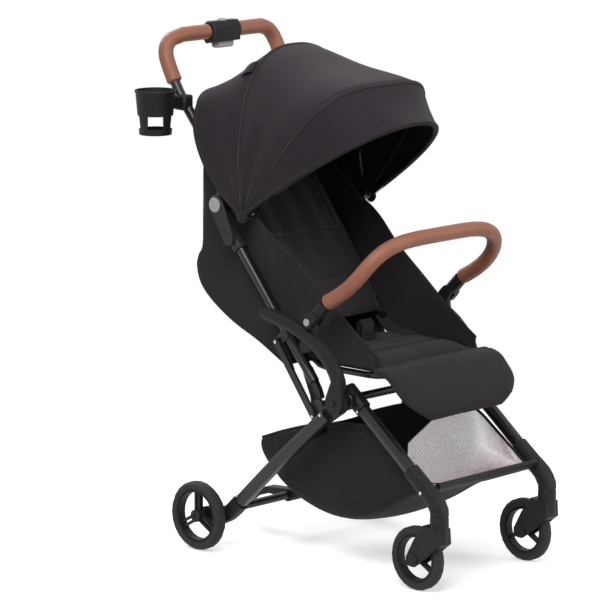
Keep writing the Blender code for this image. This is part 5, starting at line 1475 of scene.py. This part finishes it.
HUB = (-0.368, 0.363)
LINK_FOOT, LINK_HEAD = (-0.281, 0.318), (-0.175, 0.460)
RIVET_SETS = (
    ("hub_rivet_", "rear_frame", [("rear_leg_{}", HUB)], 0.0062, 0.0016, BLACK_PLASTIC),
    ("link_foot_rivet_", "rear_frame", [("hub_cross_tube", LINK_FOOT)], 0.0036, 0.0012, STEEL),
    ("link_head_rivet_", "push_frame", [("push_tube_{}", LINK_HEAD)], 0.0036, 0.0012, STEEL),
    ("leg_rivets_", "rear_frame", [("rear_leg_{}", (-0.330, 0.333)), ("rear_leg_{}", (-0.090, 0.124))],
     0.0034, 0.0011, STEEL),
    ("front_rivets_", "front_frame", [("front_leg_{}", (-0.400, 0.345)), ("front_elbow_{}", (-0.575, 0.205))],
     0.0036, 0.0011, STEEL),
)
rivet_heads = {"rear_frame": [], "push_frame": [], "front_frame": []}
for label, side in SIDES:
    for start, body, spots, radius, height, finish in RIVET_SETS:
        spots = [(node.format(label), yz) for node, yz in spots]
        rivet_heads[body].append(rivets(start + label, spots, side, radius, height, finish))

# %% [markdown]
# The crotch strap comes up behind the seat's rear channel and ends in the buckle. The webbing is
# a flat ribbed band along a side-view line, with a box of stitches under the buckle.

# %% Crotch strap
STRAP_HALF, STRAP_COLUMNS = 0.0185, 8
STRAP_LINE = [(-0.2495, 0.437), (-0.2500, 0.446), (-0.2508, 0.455), (-0.2500, 0.462)]
STRAP_BOX_Y = -0.2518
STRAP_BOX = ((-0.013, 0.443), (0.013, 0.443), (0.013, 0.452), (-0.013, 0.452), (-0.013, 0.443))

strap_rows = [[p + Vector((STRAP_HALF * (2 * i / STRAP_COLUMNS - 1), 0, 0)) for i in range(STRAP_COLUMNS + 1)]
              for p in side_line(0.0, STRAP_LINE)]
strap = sheet_piece("crotch_strap", strap_rows, WEBBING, 0.0018)
strap_box = [place(x, (STRAP_BOX_Y, z)) for x, z in STRAP_BOX]
strap_stitches = stitches("crotch_strap_stitches", [strap_box], DARK_THREAD, 0.003, 0.002, 0.0004)
print("crotch strap made")

# %% [markdown]
# ## Light, floor and backdrop
# The picture is a plain product shot: a large soft lamp high on the left, a weaker one on the
# right, a pale sky for the rest, and a white floor that keeps a faint shadow. White comes from
# what the camera sees of the floor and sky, so the object itself isn't flooded with light.

# %% Lamps
def soft_lamp(name, at, size, power):
    lamp = bpy.data.lights.new(name, "AREA")
    lamp.shape = "DISK"
    lamp.size = size
    lamp.energy = power
    made = in_scene(name, lamp)
    made.location = at
    made.rotation_mode = "QUATERNION"
    made.rotation_quaternion = (LOOK_AT - Vector(at)).to_track_quat("-Z", "Y")


soft_lamp("key", (-2.2, -1.4, 3.0), 2.2, 105.0)
soft_lamp("fill", (1.9, -2.9, 1.5), 2.6, 42.0)
soft_lamp("top_back", (0.6, 2.4, 2.8), 2.0, 60.0)


print("three lamps")

# %% Sky and floor
WHITE = colour(1.0, 1.0, 1.0)
SKY_LIGHT = 0.42
FLOOR_HALF = 30.0
FLOOR_NEAR, FLOOR_FAR = 0.9, 1.7
FLOOR_GLOW = 0.45


def seen_directly(tree):
    """1 where a ray comes from the camera, a mirror or glass, and 0 for diffuse light."""
    path = add(tree, "ShaderNodeLightPath").outputs
    total = path["Is Camera Ray"]
    for label in ("Is Glossy Ray", "Is Transmission Ray"):
        total = add(tree, "ShaderNodeMath", {0: total, 1: path[label]}, operation="MAXIMUM").outputs[0]
    return total


world = bpy.data.worlds.new("studio")
bpy.context.scene.world = world
world.use_nodes = True
sky = world.node_tree
sky.nodes.clear()
glow = add(sky, "ShaderNodeBackground", {"Color": WHITE, "Strength": SKY_LIGHT})
white = add(sky, "ShaderNodeBackground", {"Color": WHITE, "Strength": 1.0})
either = add(sky, "ShaderNodeMixShader", {0: seen_directly(sky), 1: glow.outputs[0], 2: white.outputs[0]})
add(sky, "ShaderNodeOutputWorld", {"Surface": either.outputs[0]})

pale = Finish("pale_floor", Base_Color=colour(0.80, 0.80, 0.80), Roughness=0.9, Specular_IOR_Level=0.0,
              Emission_Color=WHITE)
seen = seen_directly(pale.tree)
boost = add(pale.tree, "ShaderNodeMath", {0: seen, 1: FLOOR_GLOW}, operation="MULTIPLY")
pale.tree.links.new(boost.outputs[0], pale.shader.inputs["Emission Strength"])
away = add(pale.tree, "ShaderNodeVectorMath", {0: pale.where().socket}, operation="LENGTH")
limits = {"Value": away.outputs["Value"], "From Min": FLOOR_NEAR, "From Max": FLOOR_FAR}
fade = add(pale.tree, "ShaderNodeMapRange", limits, interpolation_type="SMOOTHSTEP")
pure_white = add(pale.tree, "ShaderNodeEmission", {"Color": WHITE, "Strength": seen})
shaders = {0: fade.outputs["Result"], 1: pale.shader.outputs[0], 2: pure_white.outputs[0]}
faded = add(pale.tree, "ShaderNodeMixShader", shaders)
pale.tree.links.new(faded.outputs[0], pale.tree.nodes["Material Output"].inputs["Surface"])

corners = [(x * FLOOR_HALF, y * FLOOR_HALF, 0) for x, y in ((-1, -1), (1, -1), (1, 1), (-1, 1))]
floor_mesh = bpy.data.meshes.new("floor")
floor_mesh.from_pydata(corners, [], [(0, 1, 2, 3)])
floor_mesh.materials.append(pale.material)
floor = in_scene("floor", floor_mesh)
bpy.context.scene.view_settings.view_transform = "Standard"
print("stage ready")

# %% [markdown]
# ## Joining the dress to the frame
# Each soft piece takes the place of one CAD solid, which is hidden. The small ones, such
# as seams and rivets, stand for nothing and only ride along.

# %% What each piece stands for
STANDS_FOR = (
    (canopy_rear, "black_cloth", "canopy_rear_panel"),
    (canopy_mid, "black_cloth", "canopy_mid_panel"),
    (canopy_brim, "black_cloth", "canopy_front_panel"),
    (seat_cushion, "black_cloth", "seat_pad"),
    (back_cushion, "black_cloth", "backrest_pad"),
    (leg_cushion, "black_cloth", "leg_rest_pad"),
    (walls["left"], "black_cloth", "side_wing_left"),
    (walls["right"], "black_cloth", "side_wing_right"),
    (pouch, "black_cloth", "rear_drape"),
    (basket, "mesh_cloth", "basket"),
    (grip_left, "tan_leather", "handle_grip_left"),
    (grip_right, "tan_leather", "handle_grip_right"),
    (bumper_leather, "tan_leather", "bumper_grip"),
)
for piece, slot, node in STANDS_FOR:
    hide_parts(node)
print(len(STANDS_FOR), "CAD solids replaced")

# %% [markdown]
# Each sheet's flat length is worked out from the size that its grid was measured at, and each
# call names what the sheet hangs from or is stretched over. Neither is kept.

# %% The sheets and what they hang from
def declare_sheet(piece, rests_on):
    width, area = piece["cut_width"], piece["cut_area"]
    max(piece["cut_length"], area / width)


declare_sheet(canopy_rear, ["canopy_bow_rear"])
declare_sheet(canopy_mid, ["canopy_bow_mid", "canopy_bow_rear"])
declare_sheet(canopy_brim, ["canopy_bow_front", "canopy_bow_mid"])
for label in walls:
    declare_sheet(walls[label], ["push_tube_" + label])
declare_sheet(pouch, ["push_tube_left", "push_tube_right"])
declare_sheet(basket, ["footboard", "rear_leg_left", "rear_leg_right"])
declare_sheet(back_window, [back_cushion])
declare_sheet(vent, [pouch, canopy_rear])
for label in walls:
    declare_sheet(gussets[label], [walls[label], canopy_rear])
    declare_sheet(skirts[label], [walls[label], seat_cushion])

# %% [markdown]
# Most pieces ride on one body. The middle canopy cloth, the brim, the vent and the gussets cross
# a hinge, and the walls and the pouch hang from the push frame and reach behind the backrest's
# pivot. These ride on no body here: only their transforms are baked into their meshes.

# %% What rides on what
RIDES = {
    "handle": [canopy_rear, rear_band, rear_hem, rear_stitches, hem_stitches, tunnels[2], canopy_flap, *canopy_tips,
               grip_left, grip_left_seam, grip_right, grip_right_seam],
    "canopy_mid": [mid_band, mid_stitches, tunnels[1]],
    "canopy_front": [brim_cord, brim_stitches, tunnels[0]],
    "seat": [seat_cushion, strap, strap_stitches, *skirts.values()],
    "backrest": [back_cushion, back_window, window_binding, window_stitches],
    "leg_rest": [leg_cushion],
    "push_frame": [*wall_bindings.values(), *wall_stitches.values(), vent_seam, *rivet_heads["push_frame"]],
    "rear_frame": [basket, basket_rim, *basket_seams, rim_stitches, *rivet_heads["rear_frame"]],
    "front_frame": rivet_heads["front_frame"],
    "bumper": [bumper_leather, bumper_seam],
}
for body, pieces in RIDES.items():
    for piece in pieces:
        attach(piece, body)


print("pieces that ride:", sum(len(pieces) for pieces in RIDES.values()))

# %% The pieces that cross a hinge
def bow_apex(bow):
    return place(0.0, toward(CANOPY_PIVOT, bow[0], bow[1] + CLOTH_LIFT))


MID_SHARE = 0.705
BACK_BEHIND = BACK_ANGLE - pi / 2
rear_apex, mid_apex, brim_apex = (bow_apex(bow) for bow in (REAR_BOW, MID_BOW, BRIM_BOW))
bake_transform(canopy_mid)
half_way = mid_apex.lerp(brim_apex, 0.5)
brim_start = mid_apex - (half_way - mid_apex) * MID_SHARE / (1 - MID_SHARE)
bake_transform(canopy_brim)
before_pivot, behind_pivot = (place(0.0, toward(BACK_PIVOT, BACK_BEHIND, d)) for d in (-0.026, -0.003))
for piece in (*walls.values(), pouch, *pouch_seams, pouch_stitches):
    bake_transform(piece)
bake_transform(vent)
for label, side in SIDES:
    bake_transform(gussets[label])


# %% [markdown]
# The folding legs close over the basket. Here its pieces only get meshes of their own.

# %% The basket's own meshes
for piece in [basket, basket_rim, *basket_seams, rim_stitches]:
    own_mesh(piece)
